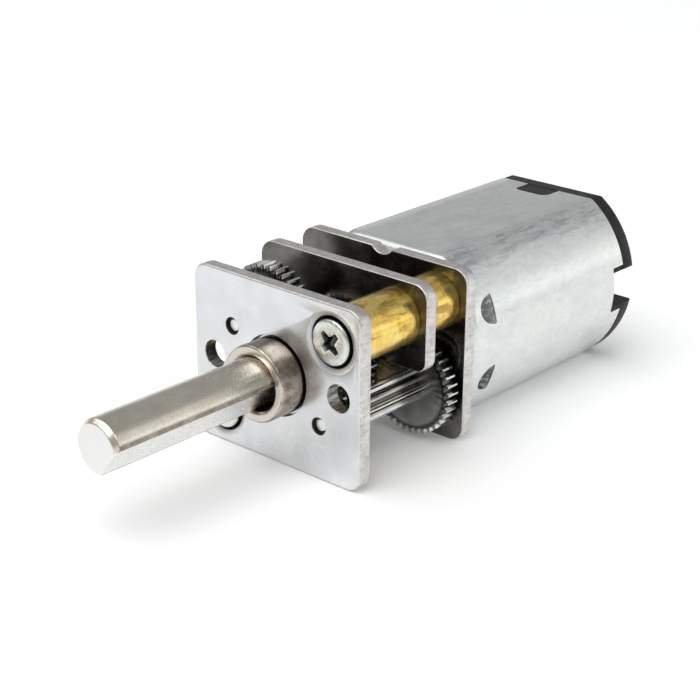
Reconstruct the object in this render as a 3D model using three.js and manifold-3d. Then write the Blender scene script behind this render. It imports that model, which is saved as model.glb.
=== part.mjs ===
// Miniature gearmotor: a flat-sided brushed motor behind a three-plate spur gearbox with a D-cut shaft.
// Millimetres. X is to the right seen from the shaft end, Y runs from the shaft tip to the motor's rear,
// Z is up. The part is drawn round its shaft axis with Y = 0 on the front plate's front face, and the
// finished group is then moved so that the origin lies under the middle of the part.
import * as THREE from "three";
import { mergeVertices } from "three/addons/utils/BufferGeometryUtils.js";
import Module from "manifold-3d";

// ---- driving dimensions ----
const PLATE_WIDTH = 12;
const PLATE_HEIGHT = 10;
const PLATE_THICK = 0.8;
const PLATE_CORNER = 0.9;
const MIDDLE_PLATE_Y = 5.15;
const REAR_PLATE_Y = 8.5;
const GEARBOX_END = REAR_PLATE_Y + PLATE_THICK;

const MOUNT_HOLE_X = 4.5;
const MOUNT_HOLE_R = 0.755;
const POST_X = 3.98;
const POST_Z = 2.95;
const POST_R = 1.6;
const POST_BORE_R = 0.85;

const SHAFT_R = 1.5;
const SHAFT_TIP_Y = -12.2;
const SHAFT_CHAMFER = 0.2;
const FLAT_DISTANCE = 0.95;
const FLAT_ANGLE = -39;
const FLAT_END_Y = 0.2;
const FLAT_RELIEF = 0.02;
const GEAR_SEAT_R = 1.1;
const TAIL_R = 0.4;
const BUSH_R = 2.12;
const BUSH_FRONT_Y = -1.65;
const BUSH_EDGE = 0.12;
const BUSH_LEAD_IN = 0.14;
const RUN_CLEARANCE = 0.03;
const SEAT_CLEARANCE = 0.01;

const MODULE = 0.15;
const PRESSURE_ANGLE = 20;
const PINION_SHIFT = 0.4;
const WHEEL_SHIFT = -0.3;
const TOOTH_THINNING = 0.02;
const AXLE_DISTANCE = 3.7;
const AXLE_ANGLE = 148;
const AXLE_R = 0.4;
const SLEEVE_R = 0.58;
const SMALL_PINION_TEETH = 10;
const LARGE_PINION_TEETH = 13;
const SMALL_WHEEL_TEETH = 36;
const LARGE_WHEEL_TEETH = 39;

const CAN_R = 6;
const CAN_HALF_HEIGHT = 5;
const CAN_WALL = 0.45;
const CAN_FACE = 0.6;
const CAN_END_Y = 24.15;
const CAP_END_Y = 25.3;
const CAN_EDGE_R = 0.7;
const MOTOR_SHAFT_R = 0.5;
const ROTOR_R = 3.9;
const MAGNET_INNER_R = 4.2;
const TERMINAL_END_Y = 26.2;

const ROUND = 36;
const SMALL_ROUND = 18;
const HOLE_ROUND = 20;
const HEAD_ROUND = 24;
const CAN_ROUND = 54;

const BOTTOM = PLATE_HEIGHT / 2;
const MIDDLE_Y = (SHAFT_TIP_Y + TERMINAL_END_Y) / 2;

// ---- materials ----
const look = (color, metalness, roughness) =>
  new THREE.MeshStandardMaterial({ color, metalness, roughness });
const plateSteel = look(0xd4d4d2, 0.9, 0.3);
const shaftSteel = look(0xa9a698, 0.9, 0.38);
const bronze = look(0xb5a58e, 0.9, 0.35);
const brass = look(0xd9b445, 0.95, 0.25);
const gearSteel = look(0x8f8f8d, 0.9, 0.35);
const screwNickel = look(0xcfcec6, 0.9, 0.3);
const canZinc = look(0xb9bdbd, 0.85, 0.42);
const blackPlastic = look(0x1d1d1e, 0, 0.55);
const coreSteel = look(0x6b6b6e, 0.7, 0.5);
const copper = look(0xb8673a, 0.9, 0.35);
const ferrite = look(0x3a3a3d, 0.1, 0.7);
const terminalBrass = look(0xc9b070, 0.9, 0.3);

// ---- solid modelling helpers ----
const wasm = await Module();
wasm.setup();

const radians = (degrees) => (degrees * Math.PI) / 180;

// Turns a three.js geometry into a closed solid whose faces look outwards.
function solid(geometry) {
  const bare = geometry.clone();
  bare.deleteAttribute("normal");
  bare.deleteAttribute("uv");
  const merged = mergeVertices(bare, 1e-5);
  const triVerts = new Uint32Array(merged.index.array);
  const vertProperties = new Float32Array(merged.attributes.position.array);
  const made = new wasm.Manifold(new wasm.Mesh({ numProp: 3, vertProperties, triVerts }));
  if (made.volume() > 0) {
    return made;
  }
  for (let i = 0; i < triVerts.length; i += 3) {
    [triVerts[i + 1], triVerts[i + 2]] = [triVerts[i + 2], triVerts[i + 1]];
  }
  return new wasm.Manifold(new wasm.Mesh({ numProp: 3, vertProperties, triVerts }));
}

// A round bar along Y, its front radius given first.
function bar(frontR, rearR, y0, y1, x = 0, z = 0, sides = ROUND) {
  const geometry = new THREE.CylinderGeometry(rearR, frontR, y1 - y0, sides);
  return solid(geometry.translate(x, (y0 + y1) / 2, z));
}

const rod = (r, y0, y1, x = 0, z = 0, sides = ROUND) => bar(r, r, y0, y1, x, z, sides);

function box(x0, x1, y0, y1, z0, z1) {
  const geometry = new THREE.BoxGeometry(x1 - x0, y1 - y0, z1 - z0);
  return solid(geometry.translate((x0 + x1) / 2, (y0 + y1) / 2, (z0 + z1) / 2));
}

// A body of revolution round the Y axis; the profile is a list of [radius, y] that starts and ends on the axis.
function turned(profile, sides = ROUND) {
  return solid(new THREE.LatheGeometry(profile.map(([r, y]) => new THREE.Vector2(r, y)), sides));
}

// A flat outline in X and Z, given a thickness along Y.
function sheet(shape, y0, y1, curveSegments = 6) {
  const geometry = new THREE.ExtrudeGeometry(shape, { depth: y1 - y0, bevelEnabled: false, curveSegments });
  return solid(geometry.rotateX(Math.PI / 2).translate(0, y1, 0));
}

function polygon(points) {
  return new THREE.Shape(points.map(([x, z]) => new THREE.Vector2(x, z)));
}

// Corner points of an arc, from one angle to another in degrees.
function arc(x, z, r, from, to, steps) {
  const points = [];
  for (let i = 0; i <= steps; i++) {
    const a = radians(from + ((to - from) * i) / steps);
    points.push([x + r * Math.cos(a), z + r * Math.sin(a)]);
  }
  return points;
}

const union = (...parts) => parts.reduce((a, b) => a.add(b));
const cut = (body, ...tools) => tools.reduce((a, b) => a.subtract(b), body);
const aboutY = (body, degrees) => body.rotate([0, -degrees, 0]);

const gearmotor = new THREE.Group();
gearmotor.name = "gearmotor";

function node(name, body, material) {
  const mesh = body.getMesh();
  const stride = mesh.numProp;
  const positions = new Float32Array(mesh.numVert * 3);
  for (let i = 0; i < mesh.numVert; i++) {
    positions.set(mesh.vertProperties.subarray(i * stride, i * stride + 3), i * 3);
  }
  const geometry = new THREE.BufferGeometry();
  geometry.setAttribute("position", new THREE.BufferAttribute(positions, 3));
  geometry.setIndex(new THREE.BufferAttribute(new Uint32Array(mesh.triVerts), 1));
  geometry.computeVertexNormals();
  const made = new THREE.Mesh(geometry, material);
  made.name = name;
  gearmotor.add(made);
}

// ---- gear teeth ----
const inv = (angle) => Math.tan(angle) - angle;

// Outline of a spur gear with a tooth on the given angle. A pinion's flanks are involutes down to the base
// circle and radial below it, and its tips are cut a little short so that they stay blunt. A wheel's flanks
// are nearly straight, so each is one line through its base circle and its tip.
function gearOutline(teeth, isPinion, toothAngle) {
  const shift = isPinion ? PINION_SHIFT : WHEEL_SHIFT;
  const pressure = radians(PRESSURE_ANGLE);
  const pitchR = (MODULE * teeth) / 2;
  const baseR = pitchR * Math.cos(pressure);
  const rootR = MODULE * (teeth / 2 - 1.25 + shift);
  const tipR = gearTipR(teeth, isPinion);
  const thickness = MODULE * (Math.PI / 2 + 2 * shift * Math.tan(pressure)) - TOOTH_THINNING;
  const involute = (r) => {
    const localPressure = Math.acos(Math.min(1, baseR / Math.max(r, baseR)));
    return thickness / (2 * pitchR) + inv(pressure) - inv(localPressure);
  };
  const straight = (r) => {
    const slope = (involute(baseR) - involute(tipR)) / (tipR - baseR);
    return involute(tipR) + slope * (tipR - r);
  };
  const halfAngle = isPinion ? involute : straight;
  const radii = isPinion ? [rootR, baseR, (baseR + tipR) / 2, tipR] : [rootR, tipR];
  const points = [];
  for (let t = 0; t < teeth; t++) {
    const centre = radians(toothAngle) + (2 * Math.PI * t) / teeth;
    const rising = radii.map((r) => [r, centre - halfAngle(r)]);
    const falling = radii.map((r) => [r, centre + halfAngle(r)]).reverse();
    for (const [r, a] of [...rising, ...falling]) {
      points.push([r * Math.cos(a), r * Math.sin(a)]);
    }
  }
  return polygon(points);
}

function gearTipR(teeth, isPinion) {
  return MODULE * (teeth / 2 + (isPinion ? 1.2 : 1 + WHEEL_SHIFT));
}

// A toothed disc round the point (x, z).
function gear(teeth, isPinion, toothAngle, y0, y1, x = 0, z = 0) {
  return sheet(gearOutline(teeth, isPinion, toothAngle), y0, y1).translate([x, 0, z]);
}

// Turns the tooth angle into the angle that puts a gap in the same place.
const gapAt = (angle, teeth) => angle + 180 / teeth;

// Upper and lower idler axles lie opposite each other about the shaft axis.
const UPPER_AXLE = [
  AXLE_DISTANCE * Math.cos(radians(AXLE_ANGLE)),
  AXLE_DISTANCE * Math.sin(radians(AXLE_ANGLE)),
];
const LOWER_AXLE = [-UPPER_AXLE[0], -UPPER_AXLE[1]];
const toUpper = AXLE_ANGLE;
const toLower = AXLE_ANGLE + 180;

// ---- plates ----
function plateOutline() {
  const w = PLATE_WIDTH / 2 - PLATE_CORNER;
  const h = PLATE_HEIGHT / 2 - PLATE_CORNER;
  return [
    ...arc(w, h, PLATE_CORNER, 0, 90, 4),
    ...arc(-w, h, PLATE_CORNER, 90, 180, 4),
    ...arc(-w, -h, PLATE_CORNER, 180, 270, 4),
    ...arc(w, -h, PLATE_CORNER, 270, 360, 4),
  ];
}

const SCREW_HEAD_R = 1.245;
const COUNTERBORE_R = 1.4;
const RIM_R = 1.74;
const RIM_DEPTH = 0.09;
const PIN_RECESS_R = 0.47;
const PIN_FRONT_Y = 0.16;
const posts = [
  ["right", POST_X, POST_Z],
  ["left", -POST_X, -POST_Z],
];

function frontPlate() {
  let plate = sheet(polygon(plateOutline()), 0, PLATE_THICK);
  for (const side of [-1, 1]) {
    plate = cut(plate, rod(MOUNT_HOLE_R, -1, 2, side * MOUNT_HOLE_X, 0, HOLE_ROUND));
  }
  for (const [, x, z] of posts) {
    plate = cut(
      plate,
      bar(2 * RIM_R - COUNTERBORE_R, COUNTERBORE_R, -RIM_DEPTH, RIM_DEPTH, x, z, HEAD_ROUND),
      rod(COUNTERBORE_R, 0, 0.38, x, z, HEAD_ROUND),
      bar(COUNTERBORE_R, POST_BORE_R, 0.38, PLATE_THICK, x, z, HEAD_ROUND),
      rod(POST_BORE_R, 0.7, 1, x, z, HEAD_ROUND),
    );
  }
  for (const [x, z] of [UPPER_AXLE, LOWER_AXLE]) {
    plate = cut(plate, rod(PIN_RECESS_R, -1, 0.3, x, z, HOLE_ROUND), rod(AXLE_R + SEAT_CLEARANCE, 0, 1, x, z, HOLE_ROUND));
  }
  return cut(plate, rod(BUSH_R + 0.14, -1, 0.3), rod(BUSH_R + SEAT_CLEARANCE, 0, 1));
}

// Full width along the top, cut away at the lower right so that the long pinion can pass.
function middlePlateOutline() {
  const w = PLATE_WIDTH / 2;
  const h = PLATE_HEIGHT / 2;
  const c = PLATE_CORNER;
  const lugBottom = 0.15;
  const lugCorner = 0.65;
  const lobeR = 1.75;
  const legRight = -2.1;
  return [
    ...arc(w - c, h - c, c, 0, 90, 4),
    ...arc(c - w, h - c, c, 90, 180, 4),
    ...arc(c - w, c - h, c, 180, 270, 4),
    ...arc(legRight - 0.5, 0.5 - h, 0.5, 270, 360, 4),
    [legRight, -1.5],
    ...arc(0, 0, lobeR, 230, 354, 10),
    [2.1, lugBottom],
    ...arc(w - lugCorner, lugBottom + lugCorner, lugCorner, 270, 360, 4),
  ];
}

function middlePlate() {
  const y0 = MIDDLE_PLATE_Y;
  const y1 = y0 + PLATE_THICK;
  let plate = sheet(polygon(middlePlateOutline()), y0, y1);
  for (const [, x, z] of posts) {
    plate = cut(plate, rod(POST_BORE_R, y0 - 1, y1 + 1, x, z, HOLE_ROUND));
  }
  plate = cut(plate, rod(AXLE_R + SEAT_CLEARANCE, y0 - 1, y1 + 1, ...UPPER_AXLE, HOLE_ROUND));
  return cut(plate, rod(TAIL_R + RUN_CLEARANCE, y0 - 1, y1 + 1, 0, 0, HOLE_ROUND));
}

const NOTCH_R = 0.9;
const NOTCH_DEPTH = 0.36;
const BOSS_R = 2;
const MOTOR_SCREW_R = 0.68;
const MOTOR_SCREW_HEAD_R = 1.2;
const motorScrews = [
  ["right", MOUNT_HOLE_X, 0],
  ["left", -MOUNT_HOLE_X, 0],
];

function rearPlate() {
  const y0 = REAR_PLATE_Y;
  const y1 = GEARBOX_END;
  let plate = sheet(polygon(plateOutline()), y0, y1);
  const notchZ = PLATE_HEIGHT / 2 + NOTCH_R - NOTCH_DEPTH;
  plate = cut(plate, rod(NOTCH_R, y0 - 1, y1 + 1, 0, notchZ));
  for (const [, x, z] of posts) {
    plate = cut(plate, rod(POST_BORE_R, y0 - 1, y1 + 1, x, z, HOLE_ROUND));
  }
  for (const [, x, z] of motorScrews) {
    const seat = bar(MOTOR_SCREW_HEAD_R + 0.02, MOTOR_SCREW_R + 0.02, y0, y0 + 0.52, x, z, HOLE_ROUND);
    plate = cut(plate, seat, rod(MOTOR_SCREW_R + 0.02, y0 - 1, y1 + 1, x, z, HOLE_ROUND));
  }
  plate = cut(plate, rod(AXLE_R + SEAT_CLEARANCE, y0 - 1, y1 + 1, ...LOWER_AXLE, HOLE_ROUND));
  return cut(plate, rod(BOSS_R + 0.02, y0 - 1, y1 + 1));
}

// ---- screws and spacers ----
// A cross recess turned by 45 degrees; its arms widen from the tips towards the middle.
function crossRecess(x, z, front, depth, reach, tipHalf, innerHalf) {
  const quarter = [
    [reach, -tipHalf],
    [reach, tipHalf],
    [innerHalf, innerHalf],
  ];
  const outline = [0, 90, 180, 270].flatMap((turn) => {
    const [c, s] = [Math.cos(radians(turn)), Math.sin(radians(turn))];
    return quarter.map(([u, w]) => [u * c - w * s, u * s + w * c]);
  });
  return aboutY(sheet(polygon(outline), front - 0.1, front + depth), 45).translate([x, 0, z]);
}

function longScrew(x, z) {
  const front = -0.12;
  const head = union(
    bar(SCREW_HEAD_R - 0.16, SCREW_HEAD_R, front, front + 0.08, x, z, HEAD_ROUND),
    rod(SCREW_HEAD_R, front + 0.08, 0.36, x, z, HEAD_ROUND),
    bar(SCREW_HEAD_R, 0.8, 0.36, 0.76, x, z, HEAD_ROUND),
  );
  const shank = union(rod(0.8, 0.7, 9, x, z, HOLE_ROUND), bar(0.8, 0.6, 9, 9.25, x, z, HOLE_ROUND));
  return cut(union(head, shank), crossRecess(x, z, front, 0.55, 0.71, 0.15, 0.24));
}

function motorScrew(x, z) {
  const front = REAR_PLATE_Y + 0.02;
  const head = bar(MOTOR_SCREW_HEAD_R, MOTOR_SCREW_R, front, front + 0.5, x, z, HOLE_ROUND);
  const shank = rod(MOTOR_SCREW_R, front + 0.4, 10.4, x, z, HOLE_ROUND);
  return cut(union(head, shank), crossRecess(x, z, front, 0.35, 0.6, 0.13, 0.2));
}

function spacer(x, z, y0, y1) {
  return cut(rod(POST_R, y0, y1, x, z), rod(POST_BORE_R, y0 - 1, y1 + 1, x, z, HOLE_ROUND));
}

// ---- output shaft and its bush ----
function frontBush() {
  const flange = PLATE_THICK + 0.15;
  const bore = SHAFT_R + RUN_CLEARANCE;
  return solid(
    new THREE.LatheGeometry(
      [
        [bore, flange],
        [bore, BUSH_FRONT_Y + BUSH_LEAD_IN],
        [bore + BUSH_LEAD_IN, BUSH_FRONT_Y],
        [BUSH_R - BUSH_EDGE, BUSH_FRONT_Y],
        [BUSH_R, BUSH_FRONT_Y + BUSH_EDGE],
        [BUSH_R, PLATE_THICK],
        [2.65, PLATE_THICK],
        [2.65, flange],
        [bore, flange],
      ].map(([r, y]) => new THREE.Vector2(r, y)),
      ROUND,
    ),
  );
}

const OUTPUT_GEAR_Y = [1.05, 2.05];

function outputShaft() {
  const body = turned([
    [0, SHAFT_TIP_Y],
    [SHAFT_R - SHAFT_CHAMFER, SHAFT_TIP_Y],
    [SHAFT_R, SHAFT_TIP_Y + 0.3],
    [SHAFT_R, OUTPUT_GEAR_Y[0] - 0.02],
    [GEAR_SEAT_R, OUTPUT_GEAR_Y[0] - 0.02],
    [GEAR_SEAT_R, OUTPUT_GEAR_Y[1]],
    [TAIL_R, OUTPUT_GEAR_Y[1]],
    [TAIL_R, 5.9],
    [0, 5.9],
  ]);
  const flat = box(FLAT_DISTANCE, 3, SHAFT_TIP_Y - 1, FLAT_END_Y, -3, 3);
  // inside the bush the flat lies a little deeper, so its free length is a face of its own
  const relief = box(FLAT_DISTANCE - FLAT_RELIEF, 3, BUSH_FRONT_Y - 0.05, FLAT_END_Y, -3, 3);
  return cut(body, aboutY(flat, FLAT_ANGLE), aboutY(relief, FLAT_ANGLE));
}

function outputGear() {
  const [y0, y1] = OUTPUT_GEAR_Y;
  const wheel = gear(LARGE_WHEEL_TEETH, false, gapAt(toUpper, LARGE_WHEEL_TEETH), y0, y1);
  return cut(wheel, rod(GEAR_SEAT_R + SEAT_CLEARANCE, 0, 3));
}

// ---- idler gears ----
const UPPER_WHEEL_Y = [2.5, 3.5];
const MIDDLE_WHEEL_Y = [3.8, 4.75];
const LOWER_WHEEL_Y = [7.3, 8.1];
const idlerBore = AXLE_R + RUN_CLEARANCE;

function upperIdler() {
  const [x, z] = UPPER_AXLE;
  const body = union(
    gear(SMALL_PINION_TEETH, true, toUpper + 180, 1, UPPER_WHEEL_Y[0] + 0.1, x, z),
    gear(SMALL_WHEEL_TEETH, false, gapAt(toUpper + 180, SMALL_WHEEL_TEETH), ...UPPER_WHEEL_Y, x, z),
    rod(SLEEVE_R, UPPER_WHEEL_Y[1] - 0.1, MIDDLE_PLATE_Y - 0.08, x, z, SMALL_ROUND),
  );
  return cut(body, rod(idlerBore, 0, 6, x, z, SMALL_ROUND));
}

function middleIdler() {
  const body = union(
    gear(LARGE_PINION_TEETH, true, toUpper, 2.15, MIDDLE_WHEEL_Y[0] + 0.1),
    gear(LARGE_WHEEL_TEETH, false, gapAt(toLower, LARGE_WHEEL_TEETH), ...MIDDLE_WHEEL_Y),
    rod(0.9, MIDDLE_WHEEL_Y[1] - 0.1, MIDDLE_PLATE_Y - 0.08, 0, 0, SMALL_ROUND),
  );
  return cut(body, rod(TAIL_R + RUN_CLEARANCE, 1, 6, 0, 0, SMALL_ROUND));
}

function lowerIdler() {
  const [x, z] = LOWER_AXLE;
  const body = union(
    rod(SLEEVE_R, PLATE_THICK + 0.08, 2.7, x, z, SMALL_ROUND),
    gear(SMALL_PINION_TEETH, true, toLower + 180, 2.6, LOWER_WHEEL_Y[0] + 0.1, x, z),
    gear(SMALL_WHEEL_TEETH, false, gapAt(toLower + 180, SMALL_WHEEL_TEETH), ...LOWER_WHEEL_Y, x, z),
    rod(0.9, LOWER_WHEEL_Y[1] - 0.1, REAR_PLATE_Y - 0.08, x, z, SMALL_ROUND),
  );
  return cut(body, rod(idlerBore, 0, 9, x, z, SMALL_ROUND));
}

function axlePin([x, z], end) {
  return union(
    bar(AXLE_R - 0.11, AXLE_R, PIN_FRONT_Y, PIN_FRONT_Y + 0.09, x, z, SMALL_ROUND),
    rod(AXLE_R, PIN_FRONT_Y + 0.09, end, x, z, SMALL_ROUND),
  );
}

// ---- motor body ----
// A round body with a flat top and bottom, its front edge rounded over.
function flatSided(r, halfHeight, y0, y1, edge) {
  const steps = edge > 0.3 ? 4 : 1;
  const round = [[0, y0]];
  const slab = [];
  for (let i = 0; i <= steps; i++) {
    const a = radians((90 * i) / steps);
    round.push([r - edge + edge * Math.sin(a), y0 + edge - edge * Math.cos(a)]);
    slab.push([y0 + edge - edge * Math.cos(a), halfHeight - edge + edge * Math.sin(a)]);
  }
  round.push([r, y1], [0, y1]);
  const upper = [...slab, [y1, halfHeight]];
  const outline = [...upper, ...upper.map(([y, z]) => [y, -z]).reverse()];
  const across = new THREE.ExtrudeGeometry(polygon(outline), { depth: 2 * r + 2, bevelEnabled: false });
  const lying = across.rotateX(Math.PI / 2).translate(0, r + 1, 0).rotateZ(Math.PI / 2);
  return turned(round, CAN_ROUND).intersect(solid(lying));
}

const CAN_FRONT_Y = GEARBOX_END;
const BOSS_FRONT_Y = 8.55;
const FRONT_BUSH_R = 1.5;
const SIDE_NOTCH = { half: 1.4, y: 23.05 };
const TOP_NOTCH = { x: -0.28, half: 1.18, y: 22.6, corner: 0.5 };
const dents = [2.05, -2.05];
const DENT = { front: 10.35, rear: 11.5, half: 0.85, floorFront: 5.4, floorRear: 5.9 };

function canNotches(gap) {
  const side = box(3, 7, SIDE_NOTCH.y + gap, 30, -SIDE_NOTCH.half + gap, SIDE_NOTCH.half - gap);
  const { x, half, y, corner } = TOP_NOTCH;
  const outline = polygon([
    ...arc(x - half + corner, y + corner, corner - gap, 180, 270, 4),
    ...arc(x + half - corner, y + corner, corner - gap, 270, 360, 4),
    [x + half - gap, 30],
    [x - half + gap, 30],
  ]);
  const top = solid(new THREE.ExtrudeGeometry(outline, { depth: 3.5, bevelEnabled: false }).translate(0, 0, 3.5));
  return union(side, aboutY(side, 180), top, aboutY(top, 180));
}

// A pressed-in mark with a straight rear edge and a bulging front one; its floor rises towards the rear.
function dent(angle, grow, top, floorFront, floorRear) {
  const half = DENT.half + grow;
  const y0 = DENT.front - grow;
  const y1 = DENT.rear + grow;
  const outline = [];
  for (let i = 0; i <= 10; i++) {
    const a = radians(90 + 18 * i);
    outline.push([y1 + (y1 - y0) * Math.cos(a), half * Math.sin(a)]);
  }
  const towardsX = new THREE.Matrix4().set(0, 0, 1, 0, 1, 0, 0, 0, 0, 1, 0, 0, 0, 0, 0, 1);
  const plan = new THREE.ExtrudeGeometry(polygon(outline), { depth: 2, bevelEnabled: false });
  const wedge = new THREE.ExtrudeGeometry(
    polygon([
      [floorFront, y0],
      [floorRear, y1],
      [top, y1],
      [top, y0],
    ]),
    { depth: 2 * half + 1, bevelEnabled: false },
  );
  const placed = solid(plan.applyMatrix4(towardsX).translate(4.8, 0, 0));
  return aboutY(placed.intersect(solid(wedge.translate(0, 0, -half - 0.5))), angle);
}

function motorCan() {
  const inside = flatSided(CAN_R - CAN_WALL, CAN_HALF_HEIGHT - CAN_WALL, CAN_FRONT_Y + CAN_FACE, 30, 0.2);
  let body = cut(flatSided(CAN_R, CAN_HALF_HEIGHT, CAN_FRONT_Y, CAN_END_Y, CAN_EDGE_R), inside);
  for (const side of [0, 180]) {
    for (const z of dents) {
      const angle = side + (Math.asin(z / CAN_R) * 180) / Math.PI;
      const { floorFront, floorRear } = DENT;
      body = union(body, dent(angle, 0.2, floorRear - 0.05, floorFront - 0.22, floorRear - 0.3));
      body = cut(body, dent(angle, 0, CAN_R + 0.3, floorFront, floorRear));
    }
  }
  body = union(body, rod(BOSS_R, BOSS_FRONT_Y, CAN_FRONT_Y + 0.3));
  body = cut(body, rod(FRONT_BUSH_R + SEAT_CLEARANCE, 8, 12), canNotches(0));
  for (const [, x, z] of motorScrews) {
    body = cut(body, rod(MOTOR_SCREW_R + 0.02, 9, 12, x, z, HOLE_ROUND));
  }
  return body;
}

function motorBush(r, y0, y1) {
  return cut(rod(r, y0, y1, 0, 0, SMALL_ROUND), rod(MOTOR_SHAFT_R + RUN_CLEARANCE, y0 - 1, y1 + 1, 0, 0, SMALL_ROUND));
}

const REAR_BUSH_R = 1.3;
const PLUG_Y = 22.7;
const SLOT_INNER_X = 3.9;
const SLOT_HALF = 1.1;
const TERMINAL_X = [3.3, 3.5];

// A plug inside the can, a flange that covers its rim, lugs in the rim's notches and a side slot at each
// end of the wide axis.
function endCap() {
  const fit = CAN_WALL + 0.03;
  const plug = flatSided(CAN_R - fit, CAN_HALF_HEIGHT - fit, PLUG_Y, CAN_END_Y + 0.1, 0.1);
  const hollow = flatSided(CAN_R - fit - 0.7, CAN_HALF_HEIGHT - fit - 0.7, PLUG_Y - 1, CAN_END_Y - 0.15, 0.1);
  const wall = box(SLOT_INNER_X - 0.25, 5.3, PLUG_Y, CAN_END_Y, -SLOT_HALF - 0.3, SLOT_HALF + 0.3);
  const slot = box(SLOT_INNER_X, 7, SIDE_NOTCH.y, 30, -SLOT_HALF, SLOT_HALF);
  const lugs = flatSided(CAN_R - 0.05, CAN_HALF_HEIGHT - 0.05, 20, CAN_END_Y + 0.1, 0.1).intersect(canNotches(0.03));
  const flangeFront = CAN_END_Y + 0.02;
  const flange = union(
    flatSided(CAN_R - 0.03, CAN_HALF_HEIGHT - 0.03, flangeFront, CAP_END_Y - 0.2, 0.01),
    flatSided(CAN_R - 0.2, CAN_HALF_HEIGHT - 0.2, CAP_END_Y - 0.3, CAP_END_Y, 0.01),
  );
  const boss = rod(2, 23.4, CAP_END_Y + 0.25, 0, 0, SMALL_ROUND);
  let cap = union(cut(plug, hollow), flange, cut(lugs, hollow), boss, wall, aboutY(wall, 180));
  cap = cut(cap, slot, aboutY(slot, 180));
  for (const side of [-1, 1]) {
    const [x0, x1] = side > 0 ? TERMINAL_X : TERMINAL_X.map((x) => -x).reverse();
    cap = cut(cap, box(x0 - 0.02, x1 + 0.02, 23, 30, -0.87, 0.87));
  }
  return cut(cap, rod(REAR_BUSH_R + SEAT_CLEARANCE, 23, 25), rod(0.8, 24, 30, 0, 0, SMALL_ROUND));
}

// ---- rotor ----
const CORE_Y = [13.2, 19.4];
const ARM_HALF = 0.6;
const HUB_R = 1.25;
const SHOE_INNER_R = 3.35;
const SHOE_HALF_ANGLE = 50;
const COMMUTATOR_Y = [21.1, 23];

function ringSector(inner, outer, from, to, steps) {
  return polygon([...arc(0, 0, outer, from, to, steps), ...arc(0, 0, inner, to, from, steps)]);
}

function rotorCore() {
  let core = rod(HUB_R, ...CORE_Y, 0, 0, SMALL_ROUND);
  for (let k = 0; k < 3; k++) {
    const arm = box(0.5, SHOE_INNER_R + 0.2, ...CORE_Y, -ARM_HALF, ARM_HALF);
    const shoe = sheet(ringSector(SHOE_INNER_R, ROTOR_R, -SHOE_HALF_ANGLE, SHOE_HALF_ANGLE, 10), ...CORE_Y);
    core = union(core, aboutY(union(arm, shoe), 90 + 120 * k));
  }
  return cut(core, rod(MOTOR_SHAFT_R + SEAT_CLEARANCE, 10, 22, 0, 0, SMALL_ROUND));
}

// One coil: a rounded ring of wire round an arm of the core.
function rotorCoil(k) {
  const half = 1.2;
  const [y0, y1] = [CORE_Y[0] - 0.65, CORE_Y[1] + 0.65];
  const r = 0.5;
  const outline = [
    ...arc(half - r, y1 - r, r, 0, 90, 4),
    ...arc(r - half, y1 - r, r, 90, 180, 4),
    ...arc(r - half, y0 + r, r, 180, 270, 4),
    ...arc(half - r, y0 + r, r, 270, 360, 4),
  ];
  const depth = 1.35;
  const block = new THREE.ExtrudeGeometry(polygon(outline), { depth, bevelEnabled: false });
  const ring = solid(block).subtract(box(-ARM_HALF - 0.01, ARM_HALF + 0.01, CORE_Y[0] - 0.01, CORE_Y[1] + 0.01, -1, 3));
  return aboutY(ring.translate([0, 0, 1.6]), 120 * k);
}

function commutatorHub() {
  return cut(
    union(rod(1.05, ...COMMUTATOR_Y, 0, 0, SMALL_ROUND), rod(1.5, COMMUTATOR_Y[0] - 0.3, COMMUTATOR_Y[0], 0, 0, SMALL_ROUND)),
    rod(MOTOR_SHAFT_R + SEAT_CLEARANCE, 20, 24, 0, 0, SMALL_ROUND),
  );
}

function commutatorSegment(k) {
  const outline = ringSector(1.065, 1.25, -56, 56, 8);
  return aboutY(sheet(outline, COMMUTATOR_Y[0] + 0.01, COMMUTATOR_Y[1] - 0.1), 30 + 120 * k);
}

// ---- magnets, brushes and terminals ----
function magnet(angle) {
  return aboutY(sheet(ringSector(MAGNET_INNER_R, CAN_R - CAN_WALL - 0.02, -46, 46, 10), 12.2, 20.6), angle);
}

// A thin spring strip: one arm lies along the commutator, the other runs down to its terminal.
function brush(side) {
  const x = TERMINAL_X[0] - 0.02;
  const arm = box(-1, x, 21.5, 22.5, 1.28, 1.4);
  const leg = box(x - 0.14, x, 21.5, 23.6, -0.8, 1.4);
  return aboutY(union(arm, leg), side > 0 ? 0 : 180);
}

function terminal(side) {
  const [x0, x1] = TERMINAL_X;
  const tab = box(x0, x1, 22, TERMINAL_END_Y - 0.3, -0.85, 0.85);
  const tip = box(x0, x1, TERMINAL_END_Y - 0.4, TERMINAL_END_Y, -0.6, 0.6);
  const hole = solid(new THREE.CylinderGeometry(0.2, 0.2, 2, 16).rotateZ(Math.PI / 2));
  return aboutY(cut(union(tab, tip), hole.translate([3.4, TERMINAL_END_Y - 0.4, 0])), side > 0 ? 0 : 180);
}

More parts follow.
